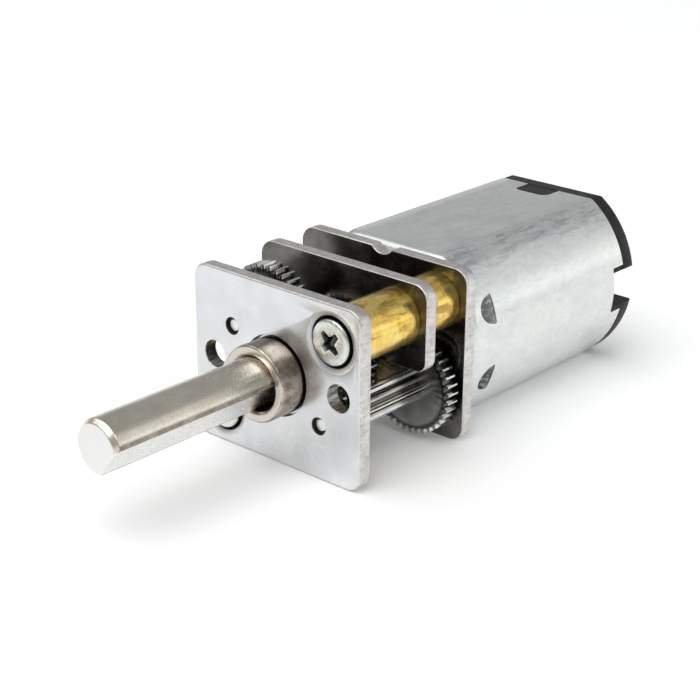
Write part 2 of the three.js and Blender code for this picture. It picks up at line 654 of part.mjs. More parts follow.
// ---- assembly ----
node("front_plate", frontPlate(), plateSteel);
node("middle_plate", middlePlate(), plateSteel);
node("rear_plate", rearPlate(), plateSteel);
for (const [side, x, z] of posts) {
  node("front_spacer_" + side, spacer(x, z, PLATE_THICK, MIDDLE_PLATE_Y), brass);
  node("rear_spacer_" + side, spacer(x, z, MIDDLE_PLATE_Y + PLATE_THICK, REAR_PLATE_Y), brass);
  node("long_screw_" + side, longScrew(x, z), screwNickel);
}
node("front_bush", frontBush(), bronze);
node("output_shaft", outputShaft(), shaftSteel);
node("output_gear", outputGear(), gearSteel);
node("upper_idler_gear", upperIdler(), gearSteel);
node("middle_idler_gear", middleIdler(), gearSteel);
node("lower_idler_gear", lowerIdler(), gearSteel);
node("upper_axle_pin", axlePin(UPPER_AXLE, MIDDLE_PLATE_Y + 0.75), shaftSteel);
node("lower_axle_pin", axlePin(LOWER_AXLE, GEARBOX_END - 0.1), shaftSteel);

const pinionGear = gear(LARGE_PINION_TEETH, true, toLower, 7.15, 8.2);
node("motor_pinion", cut(pinionGear, rod(MOTOR_SHAFT_R + SEAT_CLEARANCE, 7, 9, 0, 0, SMALL_ROUND)), terminalBrass);
node("motor_shaft", rod(MOTOR_SHAFT_R, 7.05, 24.8, 0, 0, SMALL_ROUND), shaftSteel);
node("rotor_core", rotorCore(), coreSteel);
for (let k = 0; k < 3; k++) {
  node("rotor_coil_" + (k + 1), rotorCoil(k), copper);
  node("commutator_segment_" + (k + 1), commutatorSegment(k), copper);
}
node("commutator_hub", commutatorHub(), blackPlastic);
node("magnet_right", magnet(0), ferrite);
node("magnet_left", magnet(180), ferrite);
node("front_motor_bush", motorBush(FRONT_BUSH_R, 8.6, 10.6), bronze);
node("rear_motor_bush", motorBush(REAR_BUSH_R, 23.5, 24.95), bronze);
node("brush_right", brush(1), terminalBrass);
node("brush_left", brush(-1), terminalBrass);
node("terminal_right", terminal(1), terminalBrass);
node("terminal_left", terminal(-1), terminalBrass);
for (const [side, x, z] of motorScrews) {
  node("motor_screw_" + side, motorScrew(x, z), screwNickel);
}
node("end_cap", endCap(), blackPlastic);
node("motor_can", motorCan(), canZinc);

gearmotor.position.set(0, -MIDDLE_Y, BOTTOM);

export default gearmotor;
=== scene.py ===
"""Looks for the miniature gearmotor: detailed pieces, procedural materials, studio light and camera."""

import math

import bmesh
import bpy
from mathutils import Matrix, Vector

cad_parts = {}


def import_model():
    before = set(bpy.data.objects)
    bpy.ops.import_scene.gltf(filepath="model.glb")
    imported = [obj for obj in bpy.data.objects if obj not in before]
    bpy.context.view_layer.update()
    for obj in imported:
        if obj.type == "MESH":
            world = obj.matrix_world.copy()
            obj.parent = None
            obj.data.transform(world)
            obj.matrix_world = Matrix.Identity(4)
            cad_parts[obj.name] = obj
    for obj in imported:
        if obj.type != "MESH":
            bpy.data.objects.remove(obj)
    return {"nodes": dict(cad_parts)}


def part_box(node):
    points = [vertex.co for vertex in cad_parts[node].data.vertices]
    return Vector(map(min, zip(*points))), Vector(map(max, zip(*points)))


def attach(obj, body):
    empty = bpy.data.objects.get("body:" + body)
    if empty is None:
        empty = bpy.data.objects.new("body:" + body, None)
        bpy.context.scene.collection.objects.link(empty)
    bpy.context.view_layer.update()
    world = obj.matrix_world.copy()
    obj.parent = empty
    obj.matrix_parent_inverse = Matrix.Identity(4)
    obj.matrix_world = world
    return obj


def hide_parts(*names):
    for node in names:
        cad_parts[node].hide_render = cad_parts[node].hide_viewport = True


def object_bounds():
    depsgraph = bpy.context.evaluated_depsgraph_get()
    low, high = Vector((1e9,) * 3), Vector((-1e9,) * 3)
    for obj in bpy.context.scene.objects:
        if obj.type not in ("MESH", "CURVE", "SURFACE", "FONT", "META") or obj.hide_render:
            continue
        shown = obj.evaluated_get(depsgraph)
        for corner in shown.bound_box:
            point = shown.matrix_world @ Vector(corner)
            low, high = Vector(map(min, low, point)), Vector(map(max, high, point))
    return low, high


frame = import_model()
cad_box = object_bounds()

MM = 0.001

# The pieces are drawn in millimetres round the shaft axis, with y = 0 on the front plate's front face.
PLATE_LOW, PLATE_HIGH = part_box("front_plate")
AXIS_Z = (PLATE_LOW.z + PLATE_HIGH.z) / 2
FRONT_Y = PLATE_LOW.y / MM
TO_FRAME = Matrix.Translation((0, PLATE_LOW.y, AXIS_Z)) @ Matrix.Scale(MM, 4)
# Materials work in the frame's own millimetres, where the shaft axis lies this high.
AXIS_HEIGHT = AXIS_Z / MM

# ------------ sizes
# Plates: half width, half height, thickness, and where the middle and rear ones start. Their corners
# are round and their edges rounded over. A spacer stack and a long screw stand on each post.
HALF_W, HALF_H, THICK = 6.0, 5.0, 0.8
MIDDLE_Y, REAR_Y, GEARBOX_END = 5.15, 8.5, 9.3
PLATE_CORNER, CORNER_STEPS = 0.9, 10
EDGE, FRONT_EDGE = 0.07, 0.13
POSTS = {"right": (3.98, 2.95), "left": (-3.98, -2.95)}
SPACER_R = 1.6
MOUNT_X, MOUNT_HOLE_R = 4.5, 0.755
POST_HOLE_R, AXLE_HOLE_R, TAIL_HOLE_R = 0.86, 0.41, 0.43
# The two idler axles stand on one line through the shaft axis, at this angle from straight right.
AXLE_ANGLE, AXLE_DISTANCE = 148.0, 3.7
AXLE_TURN = math.radians(AXLE_ANGLE)
UPPER = (AXLE_DISTANCE * math.cos(AXLE_TURN), AXLE_DISTANCE * math.sin(AXLE_TURN))
LOWER = (-UPPER[0], -UPPER[1])
# The output shaft's flat lies at FLAT_AT from its axis and looks FLAT_ANGLE degrees up from straight right.
SHAFT_TIP, SHAFT_R, TAIL_R = -12.2, 1.5, 0.4
FLAT_AT, FLAT_END, FLAT_ANGLE = 0.95, 0.2, -39.0
BUSH_FRONT, BUSH_R, BUSH_BORE_R = -1.65, 2.12, 1.53
BUSH_FLANGE_R, FLANGE_END = 2.65, THICK + 0.15
# Motor: where can and cap end, the can's wall and front collar, and the four dents in its sides.
CAN_END, CAP_END, WALL = 24.15, 25.3, 0.45
COLLAR_R = 2.0
DENT_FRONT, DENT_REAR, DENT_HALF, DENT_Z = 10.35, 11.5, 0.85, 2.05
SIDES = {-1: "left", 1: "right"}
# Gears: tooth counts, module and pressure angle. Profile shifts, tips and the root count in modules.
SMALL_PINION, LARGE_PINION, SMALL_WHEEL, LARGE_WHEEL = 10, 13, 36, 39
MODULE, PRESSURE = 0.15, math.radians(20)
PINION_SHIFT, WHEEL_SHIFT, PINION_TIP, WHEEL_TIP, ROOT_DEPTH = 0.4, -0.3, 1.2, 0.7, 1.25
# Teeth are thinner by TOOTH_PLAY, so that they run free, and rounded at both ends by TOOTH_EDGE.
TOOTH_PLAY, TOOTH_EDGE = 0.022, 0.018
GEAR_BORE_R, PLATE_GAP = 0.43, 0.08
TO_UPPER, TO_LOWER = AXLE_ANGLE, AXLE_ANGLE + 180


# ------------ camera
# Angles in degrees; distance, shifts, lens and sensor in millimetres.
AZIMUTH, ELEVATION, ROLL = 41.504, 22.203, 0.491
DISTANCE, SHIFT_RIGHT, SHIFT_UP = 86.803, 3.954, 1.34
LENS, SENSOR = 84.893143, 36


def look_camera():
    azimuth, elevation, roll = math.radians(AZIMUTH), math.radians(ELEVATION), math.radians(ROLL)
    level = math.cos(elevation)
    back = Vector((math.sin(azimuth) * level, -math.cos(azimuth) * level, math.sin(elevation)))
    right = (-back).cross(Vector((0, 0, 1))).normalized()
    up = right.cross(-back)
    rolled_right = right * math.cos(roll) + up * math.sin(roll)
    rolled_up = up * math.cos(roll) - right * math.sin(roll)
    place = TO_FRAME @ (back * DISTANCE + rolled_right * SHIFT_RIGHT + rolled_up * SHIFT_UP)
    data = bpy.data.cameras.new("camera")
    data.sensor_width = SENSOR
    data.lens = LENS
    data.clip_start = 0.005
    data.clip_end = 10
    camera = bpy.data.objects.new("camera", data)
    turn = Matrix((rolled_right, rolled_up, back)).transposed().to_4x4()
    camera.matrix_world = Matrix.Translation(place) @ turn
    bpy.context.scene.collection.objects.link(camera)
    bpy.context.scene.camera = camera


look_camera()


# ------------ mesh tools
def arc(x, z, r, start, end, steps):
    """Points on an arc, angles in degrees."""
    angles = [math.radians(start + (end - start) * i / steps) for i in range(steps + 1)]
    return [(x + r * math.cos(a), z + r * math.sin(a)) for a in angles]


def circle(r, x=0.0, z=0.0, count=64):
    return arc(x, z, r, 0, 360, count)[:-1]


def inset_directions(loop):
    """For each corner of an anticlockwise loop, the shift that moves both its sides in by one unit."""
    out = []
    n = len(loop)
    for i in range(n):
        a, b, c = loop[i - 1], loop[i], loop[(i + 1) % n]
        before = Vector((b[0] - a[0], b[1] - a[1])).normalized()
        after = Vector((c[0] - b[0], c[1] - b[1])).normalized()
        inward_before, inward_after = Vector((-before.y, before.x)), Vector((-after.y, after.x))
        # the lower limit keeps a sharp corner from shooting inwards
        out.append((inward_before + inward_after) / max(0.35, 1 + inward_before.dot(inward_after)))
    return out


def add_ring(bm, loop, y):
    return [bm.verts.new((x, y, z)) for x, z in loop]


def bridge(bm, a, b):
    n = len(a)
    for i in range(n):
        j = (i + 1) % n
        bm.faces.new((a[i], a[j], b[j], b[i]))


def chain(bm, rings):
    """Joins each ring to the next."""
    for a, b in zip(rings, rings[1:]):
        bridge(bm, a, b)


def prism(bm, first, last):
    """Joins two rings and closes both ends."""
    bridge(bm, first, last)
    bm.faces.new(first)
    bm.faces.new(last)


def fill(bm, *rings):
    """Closes the flat area between an outline and the holes in it."""
    edges = []
    for ring in rings:
        for i in range(len(ring)):
            pair = (ring[i - 1], ring[i])
            edges.append(bm.edges.get(pair) or bm.edges.new(pair))
    bmesh.ops.triangle_fill(bm, use_beauty=True, use_dissolve=False, edges=edges)


def rounded(loop, y0, y1, front, back, steps=3):
    """Rings of a wall along y whose ends are rounded over by the radii front and back."""
    shift = inset_directions(loop)
    rings = []

    def ring(inset, y):
        rings.append(([(x + s.x * inset, z + s.y * inset) for (x, z), s in zip(loop, shift)], y))

    if front:
        for i in range(steps):
            a = math.pi / 2 * i / steps
            ring(front * (1 - math.sin(a)), y0 + front * (1 - math.cos(a)))
        ring(0, y0 + front)
    else:
        ring(0, y0)
    if back:
        ring(0, y1 - back)
        for i in range(steps - 1, -1, -1):
            a = math.pi / 2 * i / steps
            ring(back * (1 - math.sin(a)), y1 - back * (1 - math.cos(a)))
    else:
        ring(0, y1)
    return rings


def stack(bm, sections, bores=(), steps=3):
    """One closed body of sections along y.

    A section is (loop, y0, y1, front rounding, back rounding).
    A bore is (x, z, profile, count) where the profile is a list of (radius, y) from front to back.
    """
    first = last = None
    for loop, y0, y1, front, back in sections:
        made = [add_ring(bm, points, y) for points, y in rounded(loop, y0, y1, front, back, steps)]
        chain(bm, made)
        if last is None:
            first = made[0]
        else:
            fill(bm, last, made[0])
        last = made[-1]
    mouths, tails = [], []
    for x, z, profile, count in bores:
        made = [add_ring(bm, circle(r, x, z, count), y) for r, y in profile]
        chain(bm, made)
        mouths.append(made[0])
        tails.append(made[-1])
    fill(bm, first, *mouths)
    fill(bm, last, *tails)


def bore(r, y0, y1, chamfer=0.05, x=0.0, z=0.0, count=32):
    """A plain round hole with a chamfer at both ends, for stack."""
    profile = [(r + chamfer, y0), (r, y0 + chamfer), (r, y1 - chamfer), (r + chamfer, y1)]
    return (x, z, profile, count)


def lathe(bm, profile, count=64, x=0.0, z=0.0):
    """A turned body: the profile is (radius, y) from its front to its back, closed by flat ends."""
    made = [add_ring(bm, circle(r, x, z, count), y) for r, y in profile]
    chain(bm, made)
    fill(bm, made[0])
    fill(bm, made[-1])


def block(name, side, near, far, y0, y1, half):
    """A box at one side of the middle plane, as high above the shaft axis as below it."""
    x0, x1 = sorted((side * near, side * far))
    bm = bmesh.new()
    for v in bmesh.ops.create_cube(bm, size=1)["verts"]:
        v.co = (x0 if v.co.x < 0 else x1, y0 if v.co.y < 0 else y1, -half if v.co.z < 0 else half)
    return as_object(name, bm)


def as_object(name, bm):
    bmesh.ops.remove_doubles(bm, verts=bm.verts, dist=1e-5)
    bmesh.ops.recalc_face_normals(bm, faces=bm.faces)
    mesh = bpy.data.meshes.new(name)
    bm.to_mesh(mesh)
    bm.free()
    made = bpy.data.objects.new(name, mesh)
    bpy.context.scene.collection.objects.link(made)
    return made


def evaluated(made):
    """Applies an object's modifiers to its mesh."""
    bpy.context.view_layer.update()
    graph = bpy.context.evaluated_depsgraph_get()
    mesh = bpy.data.meshes.new_from_object(made.evaluated_get(graph))
    made.modifiers.clear()
    made.data = mesh
    return made


def combine(target, tool, operation="DIFFERENCE"):
    """Cuts the tool from the target, or joins it on, and removes the tool."""
    step = target.modifiers.new("cut", "BOOLEAN")
    step.operation = operation
    step.solver = "EXACT"
    step.object = tool
    evaluated(target)
    bpy.data.objects.remove(tool)
    return target


def soften(made, width, angle=40, segments=2):
    """Bevels every edge that is sharper than an angle in degrees."""
    step = made.modifiers.new("edges", "BEVEL")
    step.width = width
    step.segments = segments
    step.limit_method = "ANGLE"
    step.angle_limit = math.radians(angle)
    step.miter_outer = "MITER_ARC"
    step.harden_normals = False
    return evaluated(made)


def finish_piece(made, body, material, slot, *nodes, sharp=38):
    """Moves a piece drawn in millimetres into the frame, gives it its material, hangs it on its body and
    hides the CAD parts it stands for.
    """
    made.data.transform(TO_FRAME)
    for p in made.data.polygons:
        p.use_smooth = True
    made.data.set_sharp_from_angle(angle=math.radians(sharp))
    made.data.materials.clear()
    made.data.materials.append(material)
    step = made.modifiers.new("normals", "WEIGHTED_NORMAL")
    step.keep_sharp = True
    step.weight = 80
    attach(made, body)
    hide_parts(*nodes)
    return made


# ------------ materials
class Nodes:
    """A short way to write a material's nodes. Positions are the piece's own, in millimetres."""

    def __init__(self, name):
        self.material = bpy.data.materials.new(name)
        self.material.use_nodes = True
        self.tree = self.material.node_tree
        self.shader = self.tree.nodes["Principled BSDF"]
        place = self.tree.nodes.new("ShaderNodeTexCoord")
        self.mm = self.node("ShaderNodeVectorMath", operation="SCALE")
        self.join(place.outputs["Object"], self.mm.inputs[0])
        self.mm.inputs["Scale"].default_value = 1 / MM
        self.place = self.mm.outputs[0]

    def node(self, kind, **settings):
        made = self.tree.nodes.new(kind)
        for key, value in settings.items():
            setattr(made, key, value)
        return made

    def join(self, a, b):
        self.tree.links.new(a, b)

    def value(self, socket, x):
        if isinstance(x, (int, float, tuple)):
            socket.default_value = x
        else:
            self.join(x, socket)

    def stretched(self, scale):
        made = self.node("ShaderNodeMapping")
        self.join(self.place, made.inputs["Vector"])
        made.inputs["Scale"].default_value = scale
        return made.outputs[0]

    def shifted(self, shift, scale):
        made = self.node("ShaderNodeVectorMath", operation="MULTIPLY_ADD")
        self.join(self.place, made.inputs[0])
        made.inputs[1].default_value = scale
        made.inputs[2].default_value = shift
        return made.outputs[0]

    def noise(self, scale, detail=3.0, rough=0.55, stretch=None, distortion=0.0):
        made = self.node("ShaderNodeTexNoise")
        self.join(self.stretched(stretch) if stretch else self.place, made.inputs["Vector"])
        made.inputs["Scale"].default_value = scale
        made.inputs["Detail"].default_value = detail
        made.inputs["Roughness"].default_value = rough
        made.inputs["Distortion"].default_value = distortion
        return made.outputs[0]

    def cells(self, scale):
        """Distance from the middle of the nearest cell."""
        made = self.node("ShaderNodeTexVoronoi")
        self.join(self.place, made.inputs["Vector"])
        made.inputs["Scale"].default_value = scale
        return made.outputs["Distance"]

    def range(self, x, low, high, out_low, out_high):
        made = self.node("ShaderNodeMapRange")
        self.join(x, made.inputs["Value"])
        for key, v in (("From Min", low), ("From Max", high), ("To Min", out_low), ("To Max", out_high)):
            made.inputs[key].default_value = v
        return made.outputs[0]

    def math(self, operation, a, b=0.5):
        made = self.node("ShaderNodeMath", operation=operation)
        self.value(made.inputs[0], a)
        self.value(made.inputs[1], b)
        return made.outputs[0]

    def product(self, first, *others):
        for other in others:
            first = self.math("MULTIPLY", first, other)
        return first

    def mix(self, factor, a, b, kind="RGBA"):
        made = self.node("ShaderNodeMix", data_type=kind)
        self.value(made.inputs["Factor"], factor)
        self.value(made.inputs["A"], a)
        self.value(made.inputs["B"], b)
        return made.outputs["Result"]

    def facing(self, axis):
        """How far the surface looks along an axis, 0 to 1, either way."""
        coordinates = self.node("ShaderNodeTexCoord")
        split = self.node("ShaderNodeSeparateXYZ")
        self.join(coordinates.outputs["Normal"], split.inputs[0])
        return self.math("ABSOLUTE", split.outputs[axis])

    def position(self, axis):
        split = self.node("ShaderNodeSeparateXYZ")
        self.join(self.place, split.inputs[0])
        return split.outputs[axis]

    def behind_front(self, start, end, out_start, out_end):
        """A change between two distances behind the front plate's front face."""
        return self.range(self.position("Y"), FRONT_Y + start, FRONT_Y + end, out_start, out_end)

    def across(self):
        """Distance from the middle plane, to either side."""
        return self.math("ABSOLUTE", self.position("X"))

    def upright(self):
        """Distance from the height of the shaft axis, up or down."""
        return self.math("ABSOLUTE", self.math("SUBTRACT", self.position("Z"), AXIS_HEIGHT))

    def radius(self, x=0.0, z=0.0):
        """Distance from the axle at x, z."""
        made = self.node("ShaderNodeVectorMath", operation="LENGTH")
        self.join(self.shifted((-x, 0, -z - AXIS_HEIGHT), (1, 0, 1)), made.inputs[0])
        return made.outputs["Value"]

    def along(self, angle):
        """Distance from the shaft axis in the direction of an angle in degrees."""
        made = self.node("ShaderNodeVectorMath", operation="DOT_PRODUCT")
        self.join(self.shifted((0, 0, -AXIS_HEIGHT), (1, 1, 1)), made.inputs[0])
        made.inputs[1].default_value = (math.cos(math.radians(angle)), 0, math.sin(math.radians(angle)))
        return made.outputs["Value"]

    def bump(self, height, distance, strength=1.0, below=None):
        made = self.node("ShaderNodeBump")
        self.value(made.inputs["Strength"], strength)
        made.inputs["Distance"].default_value = distance * MM
        self.join(height, made.inputs["Height"])
        if below:
            self.join(below, made.inputs["Normal"])
        return made.outputs[0]

    def finish(self, colour, roughness, normal=None, **fixed):
        self.value(self.shader.inputs["Base Color"], colour)
        self.value(self.shader.inputs["Roughness"], roughness)
        if normal:
            self.join(normal, self.shader.inputs["Normal"])
        for key, v in fixed.items():
            self.shader.inputs[key.replace("_", " ")].default_value = v
        return self.material


def rgb(r, g, b):
    return (r, g, b, 1.0)


def plate_metal():
    n = Nodes("satin_plate_steel")
    cloud = n.noise(0.55, 4)
    grain = n.noise(10, 3, 0.7)
    scratch_a = n.range(n.noise(9, 1, stretch=(0.09, 1, 1.6)), 0.62, 0.72, 0, 1)
    scratch_b = n.range(n.noise(7, 1, stretch=(1.7, 1, 0.07)), 0.64, 0.74, 0, 1)
    scratch = n.math("MAXIMUM", scratch_a, scratch_b)
    face = n.mix(n.range(cloud, 0.35, 0.68, 0, 1), rgb(0.69, 0.70, 0.71), rgb(0.79, 0.80, 0.812))
    face = n.mix(n.range(grain, 0.45, 0.75, 0, 0.35), face, rgb(0.56, 0.57, 0.58))
    face = n.mix(n.product(scratch, 0.12), face, rgb(0.95, 0.95, 0.95))
    # only the foremost face keeps the plain colour; those behind it, inside the gearbox, are painted dark as
    # shade
    painted_shade = n.mix(n.range(cloud, 0.35, 0.68, 0, 1), rgb(0.10, 0.095, 0.085), rgb(0.21, 0.20, 0.185))
    face = n.mix(n.behind_front(0.35, 0.5, 0, 1), face, painted_shade)
    # the punched edges have streaks through the sheet's thickness, bright patches and dark specks
    shear = n.noise(4.5, 3, stretch=(1, 0.2, 1))
    patch = n.noise(1.3, 3, stretch=(1, 1.5, 1))
    speck = n.noise(7, 4, 0.7, stretch=(1, 0.35, 1))
    cut = n.mix(n.range(shear, 0.35, 0.7, 0, 1), rgb(0.56, 0.53, 0.505), rgb(0.76, 0.73, 0.705))
    cut = n.mix(n.range(patch, 0.45, 0.7, 0, 0.55), cut, rgb(0.88, 0.865, 0.85))
    cut = n.mix(n.range(speck, 0.5, 0.72, 0, 0.5), cut, rgb(0.36, 0.335, 0.31))
    # the walls of the holes are dark, and only those of the mounting holes show streaks
    right_or_left = n.range(n.across(), HALF_W - 0.4, HALF_W - 0.3, 0, 1)
    top_or_bottom = n.range(n.upright(), HALF_H - 0.45, HALF_H - 0.35, 0, 1)
    outside = n.math("MAXIMUM", right_or_left, top_or_bottom)
    wall = n.mix(n.range(shear, 0.4, 0.6, 0, 1), rgb(0.14, 0.138, 0.13), rgb(0.48, 0.47, 0.46))
    in_mount = n.range(n.across(), MOUNT_X - 0.85, MOUNT_X - 0.8, 0, 1)
    in_mount = n.product(in_mount, n.range(n.upright(), 0.9, 0.95, 1, 0))
    wall = n.mix(in_mount, rgb(0.07, 0.068, 0.06), wall)
    cut = n.mix(outside, wall, cut)
    # the rounding between face and edge is as rough as the edge
    flat = n.range(n.facing("Y"), 0.78, 0.97, 0, 1)
    colour = n.mix(flat, cut, face)
    face_rough = n.math("ADD", n.range(cloud, 0.3, 0.7, 0.18, 0.27), n.product(grain, 0.06))
    rough = n.mix(flat, n.range(shear, 0.3, 0.7, 0.54, 0.42), face_rough, "FLOAT")
    normal = n.mix(flat, n.bump(shear, 0.014, 0.6), n.bump(grain, 0.003, 0.8), "VECTOR")
    return n.finish(colour, rough, normal, Metallic=1.0)


def shaft_metal():
    n = Nodes("ground_shaft_steel")
    cloud = n.noise(0.8, 4)
    rings = n.noise(16, 2, stretch=(0.12, 1, 0.12))
    grain = n.noise(8, 4, 0.7)
    colour = n.mix(n.range(cloud, 0.3, 0.7, 0, 1), rgb(0.74, 0.675, 0.565), rgb(0.88, 0.83, 0.735))
    colour = n.mix(n.range(grain, 0.45, 0.7, 0, 0.5), colour, rgb(0.5, 0.455, 0.375))
    # painted reflection of shade: a dark line along both edges of the flat
    reach = n.along(FLAT_ANGLE)
    side = n.math("ABSOLUTE", n.along(FLAT_ANGLE + 90))
    line = n.product(n.range(reach, 0.70, 0.82, 0, 1), n.range(side, 1.0, 1.09, 0, 1))
    line = n.product(line, n.range(n.facing("Y"), 0.2, 0.6, 0.85, 0))
    line = n.product(line, n.range(n.noise(1.6, 3), 0.3, 0.6, 0.7, 1))
    colour = n.mix(line, colour, rgb(0.14, 0.115, 0.09))
    # painted reflection: the flat itself is painted nearly white, as the bright floor would show in it
    ground = n.product(n.range(reach, FLAT_AT - 0.02, FLAT_AT - 0.005, 0, 1), n.range(side, 0.98, 1.05, 1, 0))
    colour = n.mix(ground, colour, rgb(0.95, 0.94, 0.92))
    end = n.range(n.facing("Y"), 0.9, 0.98, 0, 1)
    colour = n.mix(end, colour, rgb(0.86, 0.86, 0.84))
    rough = n.math("ADD", n.range(grain, 0.3, 0.7, 0.22, 0.32), n.product(end, 0.15))
    normal = n.bump(rings, 0.004, 0.7, below=n.bump(grain, 0.004, 0.8))
    return n.finish(colour, rough, normal, Metallic=1.0)


def bush_metal():
    n = Nodes("sintered_bush_bronze")
    cloud = n.noise(0.7, 5)
    grain = n.noise(20, 3)
    pores = n.range(n.cells(6), 0.0, 0.12, 1, 0)
    colour = n.mix(n.range(cloud, 0.35, 0.65, 0, 1), rgb(0.34, 0.285, 0.23), rgb(0.64, 0.575, 0.5))
    # dark rubbed patches, as oil leaves them on the sintered side
    patch = n.noise(2.1, 6, 0.72)
    colour = n.mix(n.range(patch, 0.5, 0.62, 0, 0.75), colour, rgb(0.17, 0.13, 0.1))
    colour = n.mix(n.product(pores, 0.5), colour, rgb(0.2, 0.16, 0.12))
    end = n.range(n.facing("Y"), 0.9, 0.98, 0, 1)
    colour = n.mix(end, colour, rgb(0.66, 0.61, 0.55))
    # painted shade, darkening towards where the bush meets the plate
    contact_shade = n.product(n.behind_front(-0.8, -0.05, 0, 0.8), n.range(cloud, 0.3, 0.6, 0.6, 1))
    colour = n.mix(contact_shade, colour, rgb(0.05, 0.035, 0.025))
    rough = n.range(grain, 0.3, 0.7, 0.21, 0.33)
    normal = n.bump(grain, 0.004, 0.7, below=n.bump(n.product(pores, -1), 0.006, 0.5))
    return n.finish(colour, rough, normal, Metallic=1.0)


def brass_metal():
    n = Nodes("turned_brass")
    cloud = n.noise(0.9, 4)
    rings = n.noise(11, 2, stretch=(0.06, 1, 0.06))
    colour = n.mix(n.range(cloud, 0.35, 0.7, 0, 1), rgb(0.84, 0.53, 0.09), rgb(0.97, 0.75, 0.22))
    colour = n.mix(n.range(rings, 0.5, 0.7, 0, 0.5), colour, rgb(0.98, 0.88, 0.52))
    # brown oil stains that run along the spacer
    stain = n.noise(1.5, 5, 0.6, stretch=(1, 0.32, 1), distortion=0.5)
    colour = n.mix(n.range(stain, 0.49, 0.6, 0, 0.72), colour, rgb(0.36, 0.19, 0.03))
    rough = n.range(rings, 0.3, 0.7, 0.14, 0.26)
    normal = n.bump(rings, 0.009, 0.8)
    return n.finish(colour, rough, normal, Metallic=0.88)


def gear_metal(label, x, z, pinion_root, wheel_root):
    """Steel of the gears on the axle at x, z, with painted shade between the teeth of pinion and wheel."""
    n = Nodes("cut_gear_steel_" + label)
    cloud = n.noise(0.9, 4)
    grain = n.noise(9, 3)
    turned = n.noise(16, 1, stretch=(1, 0.05, 1))
    colour = n.mix(n.range(cloud, 0.35, 0.68, 0, 1), rgb(0.60, 0.595, 0.58), rgb(0.80, 0.795, 0.78))
    # painted shade: the faces are painted dark, and the teeth keep the lighter steel
    painted_shade = n.mix(n.range(cloud, 0.35, 0.68, 0, 1), rgb(0.22, 0.22, 0.21), rgb(0.36, 0.355, 0.34))
    colour = n.mix(n.range(n.facing("Y"), 0.5, 0.9, 0, 1), colour, painted_shade)
    colour = n.mix(n.range(grain, 0.5, 0.75, 0, 0.15), colour, rgb(0.5, 0.5, 0.48))
    radius = n.radius(x, z)
    # painted shade: the roots between the teeth are darkened
    root_shade = n.range(radius, wheel_root + 0.02, wheel_root + 0.16, 1, 0)
    root_shade = n.product(root_shade, n.range(radius, wheel_root - 0.22, wheel_root - 0.05, 0, 1))
    root_shade = n.math("MAXIMUM", root_shade, n.range(radius, pinion_root, pinion_root + 0.17, 1, 0))
    colour = n.mix(n.product(root_shade, 0.9), colour, rgb(0.05, 0.048, 0.042))
    rough = n.range(grain, 0.3, 0.7, 0.16, 0.28)
    normal = n.bump(grain, 0.003, 0.6, below=n.bump(turned, 0.002, 0.5))
    return n.finish(colour, rough, normal, Metallic=1.0)


def screw_metal():
    n = Nodes("nickel_screw")
    cloud = n.noise(1.4, 4)
    grain = n.noise(16, 3)
    colour = n.mix(n.range(cloud, 0.35, 0.7, 0, 1), rgb(0.66, 0.67, 0.62), rgb(0.84, 0.84, 0.80))
    # painted shade: darker from just under the head's face backwards, over the cross recess and all behind
    # the head
    depth = n.behind_front(-0.11, 0.2, 0, 0.88)
    colour = n.mix(depth, colour, rgb(0.03, 0.03, 0.028))
    rough = n.range(grain, 0.3, 0.7, 0.2, 0.34)
    normal = n.bump(grain, 0.005, 0.8, below=n.bump(cloud, 0.02, 0.5))
    return n.finish(colour, rough, normal, Metallic=1.0)


